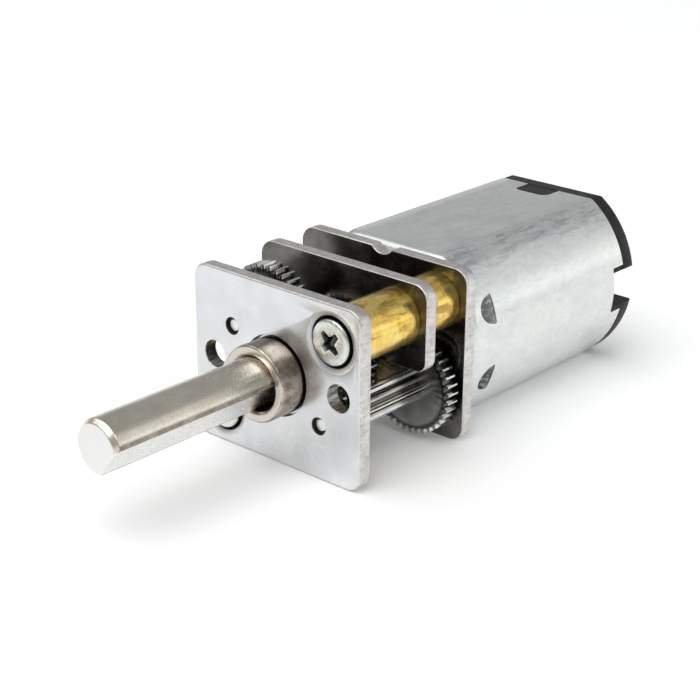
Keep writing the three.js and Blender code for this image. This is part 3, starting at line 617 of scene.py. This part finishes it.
def can_metal():
    n = Nodes("zinc_plated_can")
    cloud = n.noise(0.32, 5, 0.6)
    streak = n.noise(1.3, 5, 0.65, stretch=(1, 0.34, 1), distortion=0.3)
    fine = n.noise(4.5, 5, 0.75, stretch=(1, 0.45, 1))
    grain = n.noise(18, 3)
    cool = n.mix(n.range(streak, 0.35, 0.68, 0, 1), rgb(0.655, 0.69, 0.69), rgb(0.84, 0.855, 0.84))
    mottled = n.mix(n.range(cloud, 0.36, 0.64, 0, 1), cool, rgb(0.79, 0.80, 0.765))
    mottled = n.mix(n.range(fine, 0.46, 0.7, 0, 0.4), mottled, rgb(0.54, 0.57, 0.58))
    # the bent shoulders are more marked than the flats
    shoulder = n.product(n.range(n.across(), 2.7, 3.4, 0, 1), n.range(n.across(), 4.0, 5.0, 1, 0))
    marks = n.range(n.noise(2.6, 6, 0.75, stretch=(1.2, 0.22, 1.2), distortion=0.8), 0.47, 0.6, 0, 0.7)
    mottled = n.mix(n.product(shoulder, marks), mottled, rgb(0.38, 0.42, 0.45))
    scratch = n.range(n.noise(5, 2, stretch=(1.8, 0.06, 1.8)), 0.66, 0.74, 0, 0.5)
    colour = n.mix(scratch, mottled, rgb(0.92, 0.93, 0.93))
    # painted shade on the floors of the dents, lighter towards the rear and in the upper two
    radius = n.radius()
    dent_shade = n.product(n.range(radius, 5.76, 5.93, 1.0, 0.8), n.range(radius, 5.94, 5.98, 1, 0))
    dent_shade = n.product(dent_shade, n.range(fine, 0.54, 0.66, 1, 0.25))
    dent_shade = n.product(dent_shade, n.behind_front(DENT_FRONT - 0.25, DENT_FRONT - 0.05, 0, 1))
    dent_shade = n.product(dent_shade, n.behind_front(DENT_REAR + 0.1, DENT_REAR + 0.3, 1, 0))
    dent_shade = n.product(dent_shade, n.behind_front(DENT_FRONT + 0.15, DENT_REAR - 0.4, 1, 0.93))
    dent_shade = n.product(dent_shade, n.range(n.upright(), 3.3, 3.5, 1, 0))
    upper = n.range(n.position("Z"), AXIS_HEIGHT, AXIS_HEIGHT + 0.5, 1, 0.86)
    colour = n.mix(n.product(dent_shade, upper), colour, rgb(0.03, 0.034, 0.03))
    rough = n.math("ADD", n.range(streak, 0.3, 0.7, 0.15, 0.25), n.product(grain, 0.08))
    normal = n.bump(grain, 0.004, 0.8, below=n.bump(cloud, 0.05, 0.35))
    # the same mask raises bumps on the dents' floors
    normal = n.bump(fine, 0.14, dent_shade, below=normal)
    return n.finish(colour, rough, normal, Metallic=0.78)


def black_plastic():
    n = Nodes("black_moulded_plastic")
    grain = n.noise(12, 3)
    cloud = n.noise(0.8, 3)
    colour = n.mix(n.range(cloud, 0.35, 0.7, 0, 1), rgb(0.008, 0.008, 0.007), rgb(0.02, 0.02, 0.018))
    dust = n.product(n.range(n.noise(7, 4, 0.75), 0.5, 0.7, 0, 0.7), n.range(cloud, 0.4, 0.6, 0.3, 1))
    colour = n.mix(dust, colour, rgb(0.07, 0.072, 0.062))
    rough = n.range(grain, 0.3, 0.7, 0.42, 0.62)
    return n.finish(colour, rough, n.bump(grain, 0.008, 0.7), Specular_IOR_Level=0.25)


def copper_metal():
    n = Nodes("copper_winding")
    turns = n.noise(9, 1, stretch=(1, 0.05, 1))
    cloud = n.noise(1.2, 3)
    colour = n.mix(n.range(cloud, 0.35, 0.7, 0, 1), rgb(0.42, 0.13, 0.05), rgb(0.72, 0.30, 0.13))
    return n.finish(colour, n.range(turns, 0.3, 0.7, 0.2, 0.4), n.bump(turns, 0.03, 0.8), Metallic=1.0)


def core_metal():
    n = Nodes("laminated_core_steel")
    sheets = n.node("ShaderNodeTexWave", wave_type="BANDS", bands_direction="Y")
    n.join(n.place, sheets.inputs["Vector"])
    sheets.inputs["Scale"].default_value = 0.9
    cloud = n.noise(1.2, 3)
    colour = n.mix(n.range(cloud, 0.35, 0.7, 0, 1), rgb(0.22, 0.22, 0.23), rgb(0.38, 0.38, 0.39))
    normal = n.bump(sheets.outputs["Fac"], 0.02, 0.8)
    return n.finish(colour, n.range(cloud, 0.3, 0.7, 0.35, 0.5), normal, Metallic=1.0)


def magnet_ferrite():
    n = Nodes("ground_ferrite")
    grain = n.noise(15, 4)
    cloud = n.noise(0.9, 3)
    colour = n.mix(n.range(cloud, 0.35, 0.7, 0, 1), rgb(0.035, 0.035, 0.038), rgb(0.075, 0.075, 0.08))
    return n.finish(colour, n.range(grain, 0.3, 0.7, 0.55, 0.75), n.bump(grain, 0.01, 0.7))


def contact_brass():
    n = Nodes("contact_brass")
    grain = n.noise(14, 3)
    cloud = n.noise(1.3, 3)
    colour = n.mix(n.range(cloud, 0.35, 0.7, 0, 1), rgb(0.52, 0.40, 0.18), rgb(0.74, 0.60, 0.32))
    return n.finish(colour, n.range(grain, 0.3, 0.7, 0.24, 0.4), n.bump(grain, 0.005, 0.7), Metallic=1.0)


PLATE = plate_metal()
SHAFT = shaft_metal()
BUSH = bush_metal()
BRASS = brass_metal()
SCREW = screw_metal()
CAN = can_metal()
PLASTIC = black_plastic()
COPPER = copper_metal()
CORE = core_metal()
FERRITE = magnet_ferrite()
CONTACT = contact_brass()


# ------------ plates
def plate_corners(count):
    """The plates' round corners, from the top right one over the top."""
    points = []
    for k, (x, z) in enumerate(((1, 1), (-1, 1), (-1, -1), (1, -1))[:count]):
        w, h = x * (HALF_W - PLATE_CORNER), z * (HALF_H - PLATE_CORNER)
        points += arc(w, h, PLATE_CORNER, 90 * k, 90 * k + 90, CORNER_STEPS)
    return points


def middle_outline():
    """Full width at the top, a leg down the left side, a round lobe for the shaft and a lug on the right."""
    lobe, leg, leg_top, leg_corner = 1.75, -2.1, -1.5, 0.5
    lug_corner, lug_low, lug_start = 0.65, 0.15, 2.1
    return (
        plate_corners(3)
        + arc(leg - leg_corner, leg_corner - HALF_H, leg_corner, 270, 360, 8)
        + [(leg, leg_top)]
        + arc(0, 0, lobe, 230, 354, 24)
        + [(lug_start, lug_low)]
        + arc(HALF_W - lug_corner, lug_low + lug_corner, lug_corner, 270, 360, 8)
    )


def rear_outline():
    """The plate's outline with a shallow round notch in the middle of its top edge."""
    r, depth = 0.9, 0.36
    half = math.degrees(math.acos((r - depth) / r))
    notch = arc(0, HALF_H + r - depth, r, 270 + half, 270 - half, 12)
    base = plate_corners(4)
    first_corner = CORNER_STEPS + 1
    return base[:first_corner] + notch + base[first_corner:]


def front_plate():
    bm = bmesh.new()
    holes = [bore(MOUNT_HOLE_R, 0, THICK, 0.035, side * MOUNT_X, 0, 48) for side in (-1, 1)]
    countersink = [(1.76, 0), (1.72, 0.012), (1.45, 0.075), (1.405, 0.11), (1.4, 0.15), (1.4, 0.38)]
    for x, z in POSTS.values():
        holes.append((x, z, [*countersink, (POST_HOLE_R, THICK)], 64))
    axle_seat = [(0.5, 0), (0.47, 0.03), (0.47, 0.3), (AXLE_HOLE_R, 0.3), (AXLE_HOLE_R, THICK)]
    for x, z in (UPPER, LOWER):
        holes.append((x, z, axle_seat, 40))
    bush_seat = [(2.275, 0), (2.26, 0.015), (2.26, 0.3), (BUSH_R + 0.01, 0.3), (BUSH_R + 0.01, THICK)]
    holes.append((0, 0, bush_seat, 96))
    stack(bm, [(plate_corners(4), 0, THICK, FRONT_EDGE, EDGE)], holes, steps=4)
    return as_object("front_plate_detail", bm)


def middle_plate():
    bm = bmesh.new()
    y0, y1 = MIDDLE_Y, MIDDLE_Y + THICK
    holes = [bore(POST_HOLE_R, y0, y1, 0.03, x, z) for x, z in POSTS.values()]
    holes += [bore(AXLE_HOLE_R, y0, y1, 0.03, *UPPER), bore(TAIL_HOLE_R, y0, y1, 0.03)]
    stack(bm, [(middle_outline(), y0, y1, EDGE, EDGE)], holes)
    return as_object("middle_plate_detail", bm)


def rear_plate():
    bm = bmesh.new()
    y0, y1 = REAR_Y, GEARBOX_END
    holes = [bore(POST_HOLE_R, y0, y1, 0.03, x, z) for x, z in POSTS.values()]
    holes.append(bore(AXLE_HOLE_R, y0, y1, 0.03, *LOWER))
    for side in (-1, 1):
        holes.append((side * MOUNT_X, 0, [(1.22, y0), (0.7, y0 + 0.52), (0.7, y1)], 40))
    holes.append(bore(COLLAR_R + 0.02, y0, y1, 0.05, count=64))
    stack(bm, [(rear_outline(), y0, y1, EDGE, EDGE)], holes)
    return as_object("rear_plate_detail", bm)


finish_piece(front_plate(), "housing", PLATE, "plate_steel", "front_plate")
finish_piece(middle_plate(), "housing", PLATE, "plate_steel", "middle_plate")
finish_piece(rear_plate(), "housing", PLATE, "plate_steel", "rear_plate")


# ------------ spacers and screws
def spacer(name, x, z, y0, y1):
    bm = bmesh.new()
    stack(bm, [(circle(SPACER_R, x, z, 72), y0, y1, 0.06, 0.06)], [bore(0.85, y0, y1, 0.08, x, z)])
    return as_object(name, bm)


def cross_tool(x, z, front, depth, reach, tip_half, inner_half):
    """A tapered cross, turned 45 degrees, to sink into a screw's head; its arms widen towards the middle."""
    bm = bmesh.new()
    rings = []
    for y, grow in ((front - 0.2, 1.14), (front, 1.03), (front + 0.04, 1.0), (front + depth, 0.8)):
        loop = []
        for turn in (45, 135, 225, 315):
            c, s = math.cos(math.radians(turn)) * grow, math.sin(math.radians(turn)) * grow
            for u, w in ((reach, -tip_half), (reach, tip_half), (inner_half, inner_half)):
                loop.append((x + u * c - w * s, z + u * s + w * c))
        rings.append(add_ring(bm, loop, y))
    chain(bm, rings)
    bm.faces.new(rings[0])
    bm.faces.new(rings[-1])
    return as_object("cross", bm)


def cut_cross(screw, *place):
    return soften(combine(screw, cross_tool(*place)), 0.02)


def long_screw(name, x, z):
    bm = bmesh.new()
    head = [(0.6, -0.15), (0.9, -0.145), (1.09, -0.125), (1.19, -0.085), (1.235, -0.02), (1.245, 0.05)]
    shank = [(1.245, 0.34), (1.22, 0.36), (0.8, 0.76), (0.8, 9.0), (0.62, 9.22), (0.55, 9.25)]
    lathe(bm, head + shank, 64, x, z)
    return cut_cross(as_object(name, bm), x, z, -0.15, 0.58, 0.71, 0.15, 0.24)


def motor_screw(name, x, z):
    bm = bmesh.new()
    front = REAR_Y + 0.02
    profile = [(1.16, front), (1.2, front + 0.02), (0.68, front + 0.5), (0.68, 10.3), (0.58, 10.4)]
    lathe(bm, profile, 48, x, z)
    return cut_cross(as_object(name, bm), x, z, front, 0.35, 0.6, 0.13, 0.2)


for side, (px, pz) in POSTS.items():
    front_part = spacer("front_spacer_detail_" + side, px, pz, THICK, MIDDLE_Y)
    rear_part = spacer("rear_spacer_detail_" + side, px, pz, MIDDLE_Y + THICK, REAR_Y)
    finish_piece(front_part, "housing", BRASS, "brass_spacer", "front_spacer_" + side)
    finish_piece(rear_part, "housing", BRASS, "brass_spacer", "rear_spacer_" + side)
    screw = long_screw("long_screw_detail_" + side, px, pz)
    finish_piece(screw, "housing", SCREW, "screw_nickel", "long_screw_" + side)
    sx = MOUNT_X if side == "right" else -MOUNT_X
    small = motor_screw("motor_screw_detail_" + side, sx, 0)
    finish_piece(small, "housing", SCREW, "screw_nickel", "motor_screw_" + side)


# ------------ bush and shafts
def front_bush():
    bm = bmesh.new()
    barrel = (circle(BUSH_R, count=96), BUSH_FRONT, THICK, 0.12, 0)
    flange = (circle(BUSH_FLANGE_R, count=96), THICK, FLANGE_END, 0.03, 0.03)
    mouth = [(1.67, BUSH_FRONT), (1.64, BUSH_FRONT + 0.02), (BUSH_BORE_R, BUSH_FRONT + 0.14)]
    stack(bm, [barrel, flange], [(0, 0, [*mouth, (BUSH_BORE_R, FLANGE_END)], 96)])
    return as_object("front_bush_detail", bm)


def d_loop(r, cut, arc_steps=72, flat_steps=6, corner=0.05):
    """A circle with a flat at the distance cut; the flat's two corners are eased."""
    half = math.acos(cut / r)
    ease = corner / r
    points = []
    for i in range(arc_steps + 1):
        a = half + ease + (2 * math.pi - 2 * half - 2 * ease) * i / arc_steps
        points.append((r * math.cos(a), r * math.sin(a)))
    reach = r * math.sin(half)
    for i in range(flat_steps + 1):
        points.append((cut, -(reach - corner) + 2 * (reach - corner) * i / flat_steps))
    t = math.radians(FLAT_ANGLE)
    return [(x * math.cos(t) - z * math.sin(t), x * math.sin(t) + z * math.cos(t)) for x, z in points]


def output_shaft():
    """The D-shaped front end, then the round journal, the gear's seat and the thin tail."""
    bm = bmesh.new()
    rings = []
    for inset, y in ((0.24, 0), (0.2, 0.012), (0.17, 0.05), (0.03, 0.26), (0.0, 0.32), (0.0, 11.8)):
        rings.append(add_ring(bm, d_loop(SHAFT_R - inset, FLAT_AT), SHAFT_TIP + y))
    rings.append(add_ring(bm, d_loop(SHAFT_R, FLAT_AT), FLAT_END))
    chain(bm, rings)
    fill(bm, rings[0])
    profile = [(SHAFT_R, FLAT_END), (SHAFT_R, 1.0), (SHAFT_R - 0.04, 1.03), (1.1, 1.03), (1.1, 2.03)]
    profile += [(1.08, 2.05), (TAIL_R, 2.05), (TAIL_R, 5.84), (TAIL_R - 0.06, 5.9)]
    rest = [add_ring(bm, circle(r, count=72), y) for r, y in profile]
    chain(bm, rest)
    fill(bm, rings[-1], rest[0])
    fill(bm, rest[-1])
    return as_object("output_shaft_detail", bm)


def turned(name, profile, x=0.0, z=0.0, count=48):
    bm = bmesh.new()
    lathe(bm, profile, count, x, z)
    return as_object(name, bm)


finish_piece(front_bush(), "housing", BUSH, "bush_bronze", "front_bush")
finish_piece(output_shaft(), "output", SHAFT, "shaft_steel", "output_shaft")
for label, (ax, az), end in (("upper", UPPER, MIDDLE_Y + 0.75), ("lower", LOWER, GEARBOX_END - 0.1)):
    profile = [(0.29, 0.16), (0.33, 0.175), (0.39, 0.24), (0.4, 0.28), (0.4, end - 0.08), (0.34, end)]
    pin = turned(label + "_axle_pin_detail", profile, ax, az, 32)
    finish_piece(pin, "housing", SHAFT, "shaft_steel", label + "_axle_pin")
profile = [(0.42, 7.05), (0.5, 7.13), (0.5, 24.7), (0.42, 24.8)]
motor_shaft = turned("motor_shaft_detail", profile, count=36)
finish_piece(motor_shaft, "rotor", SHAFT, "shaft_steel", "motor_shaft")


# ------------ gears
def involute(angle):
    return math.tan(angle) - angle


def profile_shift(pinion):
    return PINION_SHIFT if pinion else WHEEL_SHIFT


def root_radius(teeth, pinion):
    return MODULE * (teeth / 2 - ROOT_DEPTH + profile_shift(pinion))


def gear_loop(teeth, pinion, tooth_angle, x=0.0, z=0.0):
    """Outline of a spur gear; flanks are involutes, roots are joined by a short round."""
    shift = profile_shift(pinion)
    pitch = MODULE * teeth / 2
    base = pitch * math.cos(PRESSURE)
    root = root_radius(teeth, pinion)
    tip = MODULE * (teeth / 2 + (PINION_TIP if pinion else WHEEL_TIP))
    thick = MODULE * (math.pi / 2 + 2 * shift * math.tan(PRESSURE)) - TOOTH_PLAY

    def half(r):
        local = math.acos(min(1, base / max(r, base)))
        return thick / (2 * pitch) + involute(PRESSURE) - involute(local)

    start = max(base, root)
    radii = [start + (tip - start) * k / 4 for k in range(5)]
    if root < start:
        radii = [root + 0.02, *radii]
    points = []
    for t in range(teeth):
        centre = math.radians(tooth_angle) + 2 * math.pi * t / teeth
        gap = 2 * math.pi / teeth
        low = gap / 2 - half(start)
        left = [(root, centre - half(start) - low * 0.5), (root, centre - half(start) - 0.02 / root)]
        left += [(r, centre - half(r)) for r in radii]
        right = [(r, centre + half(r)) for r in reversed(radii)]
        right += [(root, centre + half(start) + 0.02 / root)]
        for r, a in left + right:
            points.append((x + r * math.cos(a), z + r * math.sin(a)))
    return points


def gap_at(angle, teeth):
    """Where to put a tooth so that a gap stands at an angle."""
    return angle + 180.0 / teeth


def gear_piece(name, sections, bore_r, x=0.0, z=0.0):
    """sections: (loop, y0, y1, front rounding, back rounding) with a plain bore through all of them."""
    bm = bmesh.new()
    y0, y1 = sections[0][1], sections[-1][2]
    stack(bm, sections, [bore(bore_r, y0, y1, 0.05, x, z)], steps=2)
    return as_object(name, bm)


def all_gears():
    """For each gear: name, body, sections from front to back, bore radius, place of its axle."""
    e = TOOTH_EDGE
    output = [(gear_loop(LARGE_WHEEL, False, gap_at(TO_UPPER, LARGE_WHEEL)), 1.05, 2.05, e, e)]
    gears = [("output_gear", "output", output, 1.11, (0, 0))]
    x, z = UPPER
    upper = [
        (gear_loop(SMALL_PINION, True, TO_UPPER + 180, x, z), 1.0, 2.5, e, 0),
        (gear_loop(SMALL_WHEEL, False, gap_at(TO_UPPER + 180, SMALL_WHEEL), x, z), 2.5, 3.5, e, e),
        (circle(0.58, x, z, 32), 3.5, MIDDLE_Y - PLATE_GAP, 0, 0.03),
    ]
    gears.append(("upper_idler_gear", "upper_idler", upper, GEAR_BORE_R, UPPER))
    middle = [
        (gear_loop(LARGE_PINION, True, TO_UPPER), 2.15, 3.8, e, 0),
        (gear_loop(LARGE_WHEEL, False, gap_at(TO_LOWER, LARGE_WHEEL)), 3.8, 4.75, e, e),
        (circle(0.9, 0, 0, 40), 4.75, MIDDLE_Y - PLATE_GAP, 0, 0.03),
    ]
    gears.append(("middle_idler_gear", "middle_idler", middle, GEAR_BORE_R, (0, 0)))
    x, z = LOWER
    lower = [
        (circle(0.58, x, z, 32), THICK + PLATE_GAP, 2.6, 0.03, 0),
        (gear_loop(SMALL_PINION, True, TO_LOWER + 180, x, z), 2.6, 7.3, e, 0),
        (gear_loop(SMALL_WHEEL, False, gap_at(TO_LOWER + 180, SMALL_WHEEL), x, z), 7.3, 8.1, e, e),
        (circle(0.9, x, z, 40), 8.1, REAR_Y - PLATE_GAP, 0, 0.03),
    ]
    gears.append(("lower_idler_gear", "lower_idler", lower, GEAR_BORE_R, LOWER))
    pinion = [(gear_loop(LARGE_PINION, True, TO_LOWER), 7.15, 8.2, e, e)]
    gears.append(("motor_pinion", "rotor", pinion, 0.51, (0, 0)))
    return gears


CENTRE_ROOTS = root_radius(LARGE_PINION, True), root_radius(LARGE_WHEEL, False)
IDLER_ROOTS = root_radius(SMALL_PINION, True), root_radius(SMALL_WHEEL, False)
CENTRE_GEAR = gear_metal("centre", 0, 0, *CENTRE_ROOTS)
UPPER_GEAR = gear_metal("upper", *UPPER, *IDLER_ROOTS)
LOWER_GEAR = gear_metal("lower", *LOWER, *IDLER_ROOTS)
GEAR_LOOKS = {
    "output_gear": (CENTRE_GEAR, "gear_steel"),
    "upper_idler_gear": (UPPER_GEAR, "gear_steel"),
    "middle_idler_gear": (CENTRE_GEAR, "gear_steel"),
    "lower_idler_gear": (LOWER_GEAR, "gear_steel"),
    "motor_pinion": (CONTACT, "contact_brass"),
}
for name, body, sections, hole, (gx, gz) in all_gears():
    piece = gear_piece(name + "_detail", sections, hole, gx, gz)
    finish_piece(piece, body, *GEAR_LOOKS[name], name, sharp=30)


# ------------ motor
def flat_sided(inset, arc_steps=28, flat_steps=8):
    """The can's outline, a circle cut off flat above and below, set in by a distance."""
    r, h = HALF_W - inset, HALF_H - inset
    half = math.degrees(math.asin(h / r))
    right = arc(0, 0, r, -half, half, arc_steps)
    top = [(right[-1][0] * (1 - 2 * i / flat_steps), h) for i in range(1, flat_steps)]
    left = [(-x, -z) for x, z in right]
    bottom = [(-x, -z) for x, z in top]
    return right + top + left + bottom


def motor_can():
    bm = bmesh.new()
    edge, floor_y = 0.7, GEARBOX_END + 0.6
    profile = []
    for i in range(9):
        a = math.pi / 2 * i / 8
        profile.append((edge * (1 - math.sin(a)), GEARBOX_END + edge * (1 - math.cos(a))))
    profile += [(0, y) for y in (10.3, 11, 11.6, 13, 15, 18, 21, 22.5, CAN_END - 0.04)]
    profile += [(0.04, CAN_END), (WALL - 0.04, CAN_END), (WALL, CAN_END - 0.04)]
    profile += [(WALL, 18), (WALL, GEARBOX_END + 0.8), (WALL + 0.2, floor_y)]
    made = [add_ring(bm, flat_sided(inset), y) for inset, y in profile]
    chain(bm, made)
    boss = [(COLLAR_R, GEARBOX_END), (COLLAR_R, 8.65), (1.9, 8.55), (1.56, 8.55)]
    boss += [(1.51, 8.6), (1.51, floor_y)]
    collar = [add_ring(bm, circle(r, count=64), y) for r, y in boss]
    chain(bm, collar)
    front_holes, back_holes = [], []
    for side in (-1, 1):
        a, b = (add_ring(bm, circle(0.7, side * MOUNT_X, 0, 24), y) for y in (GEARBOX_END, floor_y))
        bridge(bm, a, b)
        front_holes.append(a)
        back_holes.append(b)
    fill(bm, made[0], collar[0], *front_holes)
    fill(bm, made[-1], collar[-1], *back_holes)
    return cut_can(as_object("motor_can_detail", bm))


def notch_tool(gap):
    """What is cut from the can's rim: one opening at each side and one above and below."""
    bm = bmesh.new()
    past_end = 30
    half, y0, c = 1.4 - gap, 23.05 + gap, 0.12
    beside = [(past_end, -half), (past_end, half)]
    beside += [(y0 + c - c * math.sin(t), half - c + c * math.cos(t)) for t in (0, 0.52, 1.05, 1.57)]
    beside += [(y0 + c - c * math.cos(t), -half + c - c * math.sin(t)) for t in (0, 0.52, 1.05, 1.57)]
    r, half, x0, y0 = 0.5 - gap, 1.18 - gap, -0.28, 22.6 + gap
    above = [(x0 - half, past_end)]
    above += [(x0 - half + r - u, y0 + r - v) for u, v in arc(0, 0, r, 0, 90, 6)]
    above += [(x0 + half - r - u, y0 + r - v) for u, v in arc(0, 0, r, 90, 180, 6)]
    above += [(x0 + half, past_end)]
    for side in (-1, 1):
        prism(bm, *([bm.verts.new((side * x, y, z)) for y, z in beside] for x in (4.2, 6.6)))
        prism(bm, *([bm.verts.new((side * x, y, side * z)) for x, y in above] for z in (3.6, 6.4)))
    return as_object("notches", bm)


def dents(grow, top, floor_front, floor_rear):
    """Four pressed-in marks, straight at the rear and bulging at the front.

    Their floor rises rearwards. floor_front, floor_rear and top are distances from the shaft axis.
    """
    bm = bmesh.new()
    y0, y1, half = DENT_FRONT - grow, DENT_REAR + grow, DENT_HALF + grow
    plan = [(y1 + (y1 - y0) * u, half * w) for u, w in arc(0, 0, 1, 90, 270, 20)]
    for flip in (1, -1):
        for z in (DENT_Z, -DENT_Z):
            angle = math.asin(z / HALF_W)
            cos, sin = math.cos(angle), math.sin(angle)
            rings = []
            for low in (True, False):
                ring = []
                for y, w in plan:
                    share = (y - y0) / (y1 - y0)
                    x = floor_front + (floor_rear - floor_front) * share if low else top
                    across, up = x * cos - w * sin, x * sin + w * cos
                    ring.append(bm.verts.new((flip * across, y, flip * up)))
                rings.append(ring)
            bridge(bm, *rings)
            fill(bm, rings[0])
            bm.faces.new(rings[1])
    return as_object("dents", bm)


def cut_can(can):
    """Cuts the openings, adds a pad behind each dent so that the wall stays whole, cuts the dents."""
    combine(can, notch_tool(0))
    combine(can, dents(0.2, 5.85, 5.18, 5.6), "UNION")
    combine(can, dents(0, 6.3, 5.4, 5.9))
    return soften(can, 0.03)


def end_cap():
    bm = bmesh.new()
    fit, top = WALL + 0.03, CAP_END + 0.25
    front, inner_end = 22.7, 24.0
    profile = [(fit + 0.1, front), (fit, front + 0.1), (fit, CAN_END + 0.02), (0.03, CAN_END + 0.02)]
    profile += [(0.03, CAP_END - 0.25), (0.07, CAP_END - 0.12), (0.18, CAP_END - 0.03), (0.3, CAP_END)]
    made = [add_ring(bm, flat_sided(inset), y) for inset, y in profile]
    chain(bm, made)
    inner = [add_ring(bm, flat_sided(fit + d), y) for d, y in ((0.7, front), (0.75, inner_end))]
    bridge(bm, *inner)
    fill(bm, made[0], inner[0])
    # the seat of the rear bush stands out a little behind and reaches forward inside
    boss = [(2.0, CAP_END), (2.0, top - 0.08), (1.92, top), (0.86, top), (0.8, top - 0.06), (0.8, 25.0)]
    boss += [(1.31, 25.0), (1.31, 23.4), (2.0, 23.4), (2.0, inner_end)]
    seat = [add_ring(bm, circle(r, count=56), y) for r, y in boss]
    chain(bm, seat)
    fill(bm, made[-1], seat[0])
    fill(bm, inner[-1], seat[-1])
    cap = as_object("end_cap_detail", bm)
    # four lugs fill the openings in the can's rim
    lug = slug("lugs", 0.05, 24.3)
    combine(lug, notch_tool(0.03), "INTERSECT")
    combine(lug, slug("hollow", fit + 0.7, inner_end))
    combine(cap, lug, "UNION")
    for side in (-1, 1):
        combine(cap, block("pocket", side, 3.65, 5.3, front, 24.2, 1.4), "UNION")
        combine(cap, block("slot", side, 3.9, 7, 23.05, 30, 1.1))
        combine(cap, block("terminal_slot", side, 3.28, 3.52, 22.9, 30, 0.87))
    return soften(cap, 0.05)


def slug(name, inset, end):
    """A solid with the can's outline, set in by a distance, from well inside the can to an end."""
    bm = bmesh.new()
    prism(bm, *(add_ring(bm, flat_sided(inset), y) for y in (20, end)))
    return as_object(name, bm)


def terminal(side):
    bm = bmesh.new()
    end = 26.2
    loop = [(22.0, -0.85), (end - 0.42, -0.85), (end - 0.3, -0.78), (end - 0.05, -0.6), (end, -0.5)]
    loop += [(y, -z) for y, z in reversed(loop)]
    hole = [(end - 0.4 + y, z) for y, z in circle(0.2, count=24)]
    faces = []
    for x in (3.3 * side, 3.5 * side):
        faces.append([[bm.verts.new((x, y, z)) for y, z in outline] for outline in (loop, hole)])
    for near, far in zip(*faces):
        bridge(bm, near, far)
    for outlines in faces:
        fill(bm, *outlines)
    return soften(as_object("terminal_detail_" + SIDES[side], bm), 0.025)


finish_piece(motor_can(), "housing", CAN, "can_steel", "motor_can")
finish_piece(end_cap(), "housing", PLASTIC, "black_plastic", "end_cap")
for side, label in SIDES.items():
    finish_piece(terminal(side), "housing", CONTACT, "contact_brass", "terminal_" + label)

# ------------ carried-over solids
LOOKS = {
    "front_motor_bush": BUSH,
    "rear_motor_bush": BUSH,
    "rotor_core": CORE,
    "commutator_hub": PLASTIC,
    "magnet_left": FERRITE,
    "magnet_right": FERRITE,
    "brush_left": CONTACT,
    "brush_right": CONTACT,
}
for k in (1, 2, 3):
    LOOKS["rotor_coil_%d" % k] = COPPER
    LOOKS["commutator_segment_%d" % k] = COPPER
for node, material in LOOKS.items():
    carried = frame["nodes"][node].data
    carried.materials.clear()
    carried.materials.append(material)


# ------------ floor, light and world
# In the frame's own metres: the floor's radius, how far it lies below the part, where lights aim.
FLOOR_RADIUS, FLOOR_GAP = 1.5, 0.00002
HERE = Vector((0, 0, 0.005))


def floor():
    bm = bmesh.new()
    bmesh.ops.create_circle(bm, cap_ends=True, radius=FLOOR_RADIUS, segments=96)
    mesh = bpy.data.meshes.new("floor")
    bm.to_mesh(mesh)
    bm.free()
    made = bpy.data.objects.new("floor", mesh)
    made.location = (0, 0, cad_box[0][2] - FLOOR_GAP)
    bpy.context.scene.collection.objects.link(made)
    n = Nodes("pale_floor")
    n.finish(rgb(0.95, 0.95, 0.953), 0.85, Emission_Color=rgb(1, 1, 1), Emission_Strength=0.11)
    mesh.materials.append(n.material)


def softbox(name, place, width, height, power):
    """A flat lamp that looks at HERE, at a place measured from it."""
    data = bpy.data.lights.new(name, "AREA")
    data.shape = "RECTANGLE"
    data.size, data.size_y = width, height
    data.energy = power
    place = HERE + Vector(place)
    made = bpy.data.objects.new(name, data)
    aim = (HERE - place).to_track_quat("-Z", "Y")
    made.matrix_world = Matrix.Translation(place) @ aim.to_matrix().to_4x4()
    bpy.context.scene.collection.objects.link(made)


def world():
    made = bpy.data.worlds.new("studio")
    bpy.context.scene.world = made
    made.use_nodes = True
    tree = made.node_tree
    background = tree.nodes["Background"]
    background.inputs["Color"].default_value = (0.97, 0.99, 1.0, 1)
    # bright all around up to about 6 degrees above the horizon, and dimmer from 12 degrees up
    direction = tree.nodes.new("ShaderNodeTexCoord")
    split = tree.nodes.new("ShaderNodeSeparateXYZ")
    fade = tree.nodes.new("ShaderNodeMapRange")
    for key, v in (("From Min", 0.1), ("From Max", 0.2), ("To Min", 0.85), ("To Max", 0.35)):
        fade.inputs[key].default_value = v
    tree.links.new(direction.outputs["Generated"], split.inputs[0])
    tree.links.new(split.outputs["Z"], fade.inputs["Value"])
    tree.links.new(fade.outputs[0], background.inputs["Strength"])


floor()
world()
softbox("key", (0, -0.36, 0.93), 0.9, 0.9, 6.5)
softbox("left", (-0.64, -0.1, 0.76), 0.6, 0.6, 1.1)
softbox("right", (0.7, 0, 0.7), 0.4, 0.4, 1.0)
softbox("low_right", (0.667, 0.621, 0.476), 0.8, 0.382, 0.4)
softbox("horizon", (0.739, 0.688, 0.192), 0.9, 0.244, 0.48)
bpy.context.scene.view_settings.view_transform = "Standard"
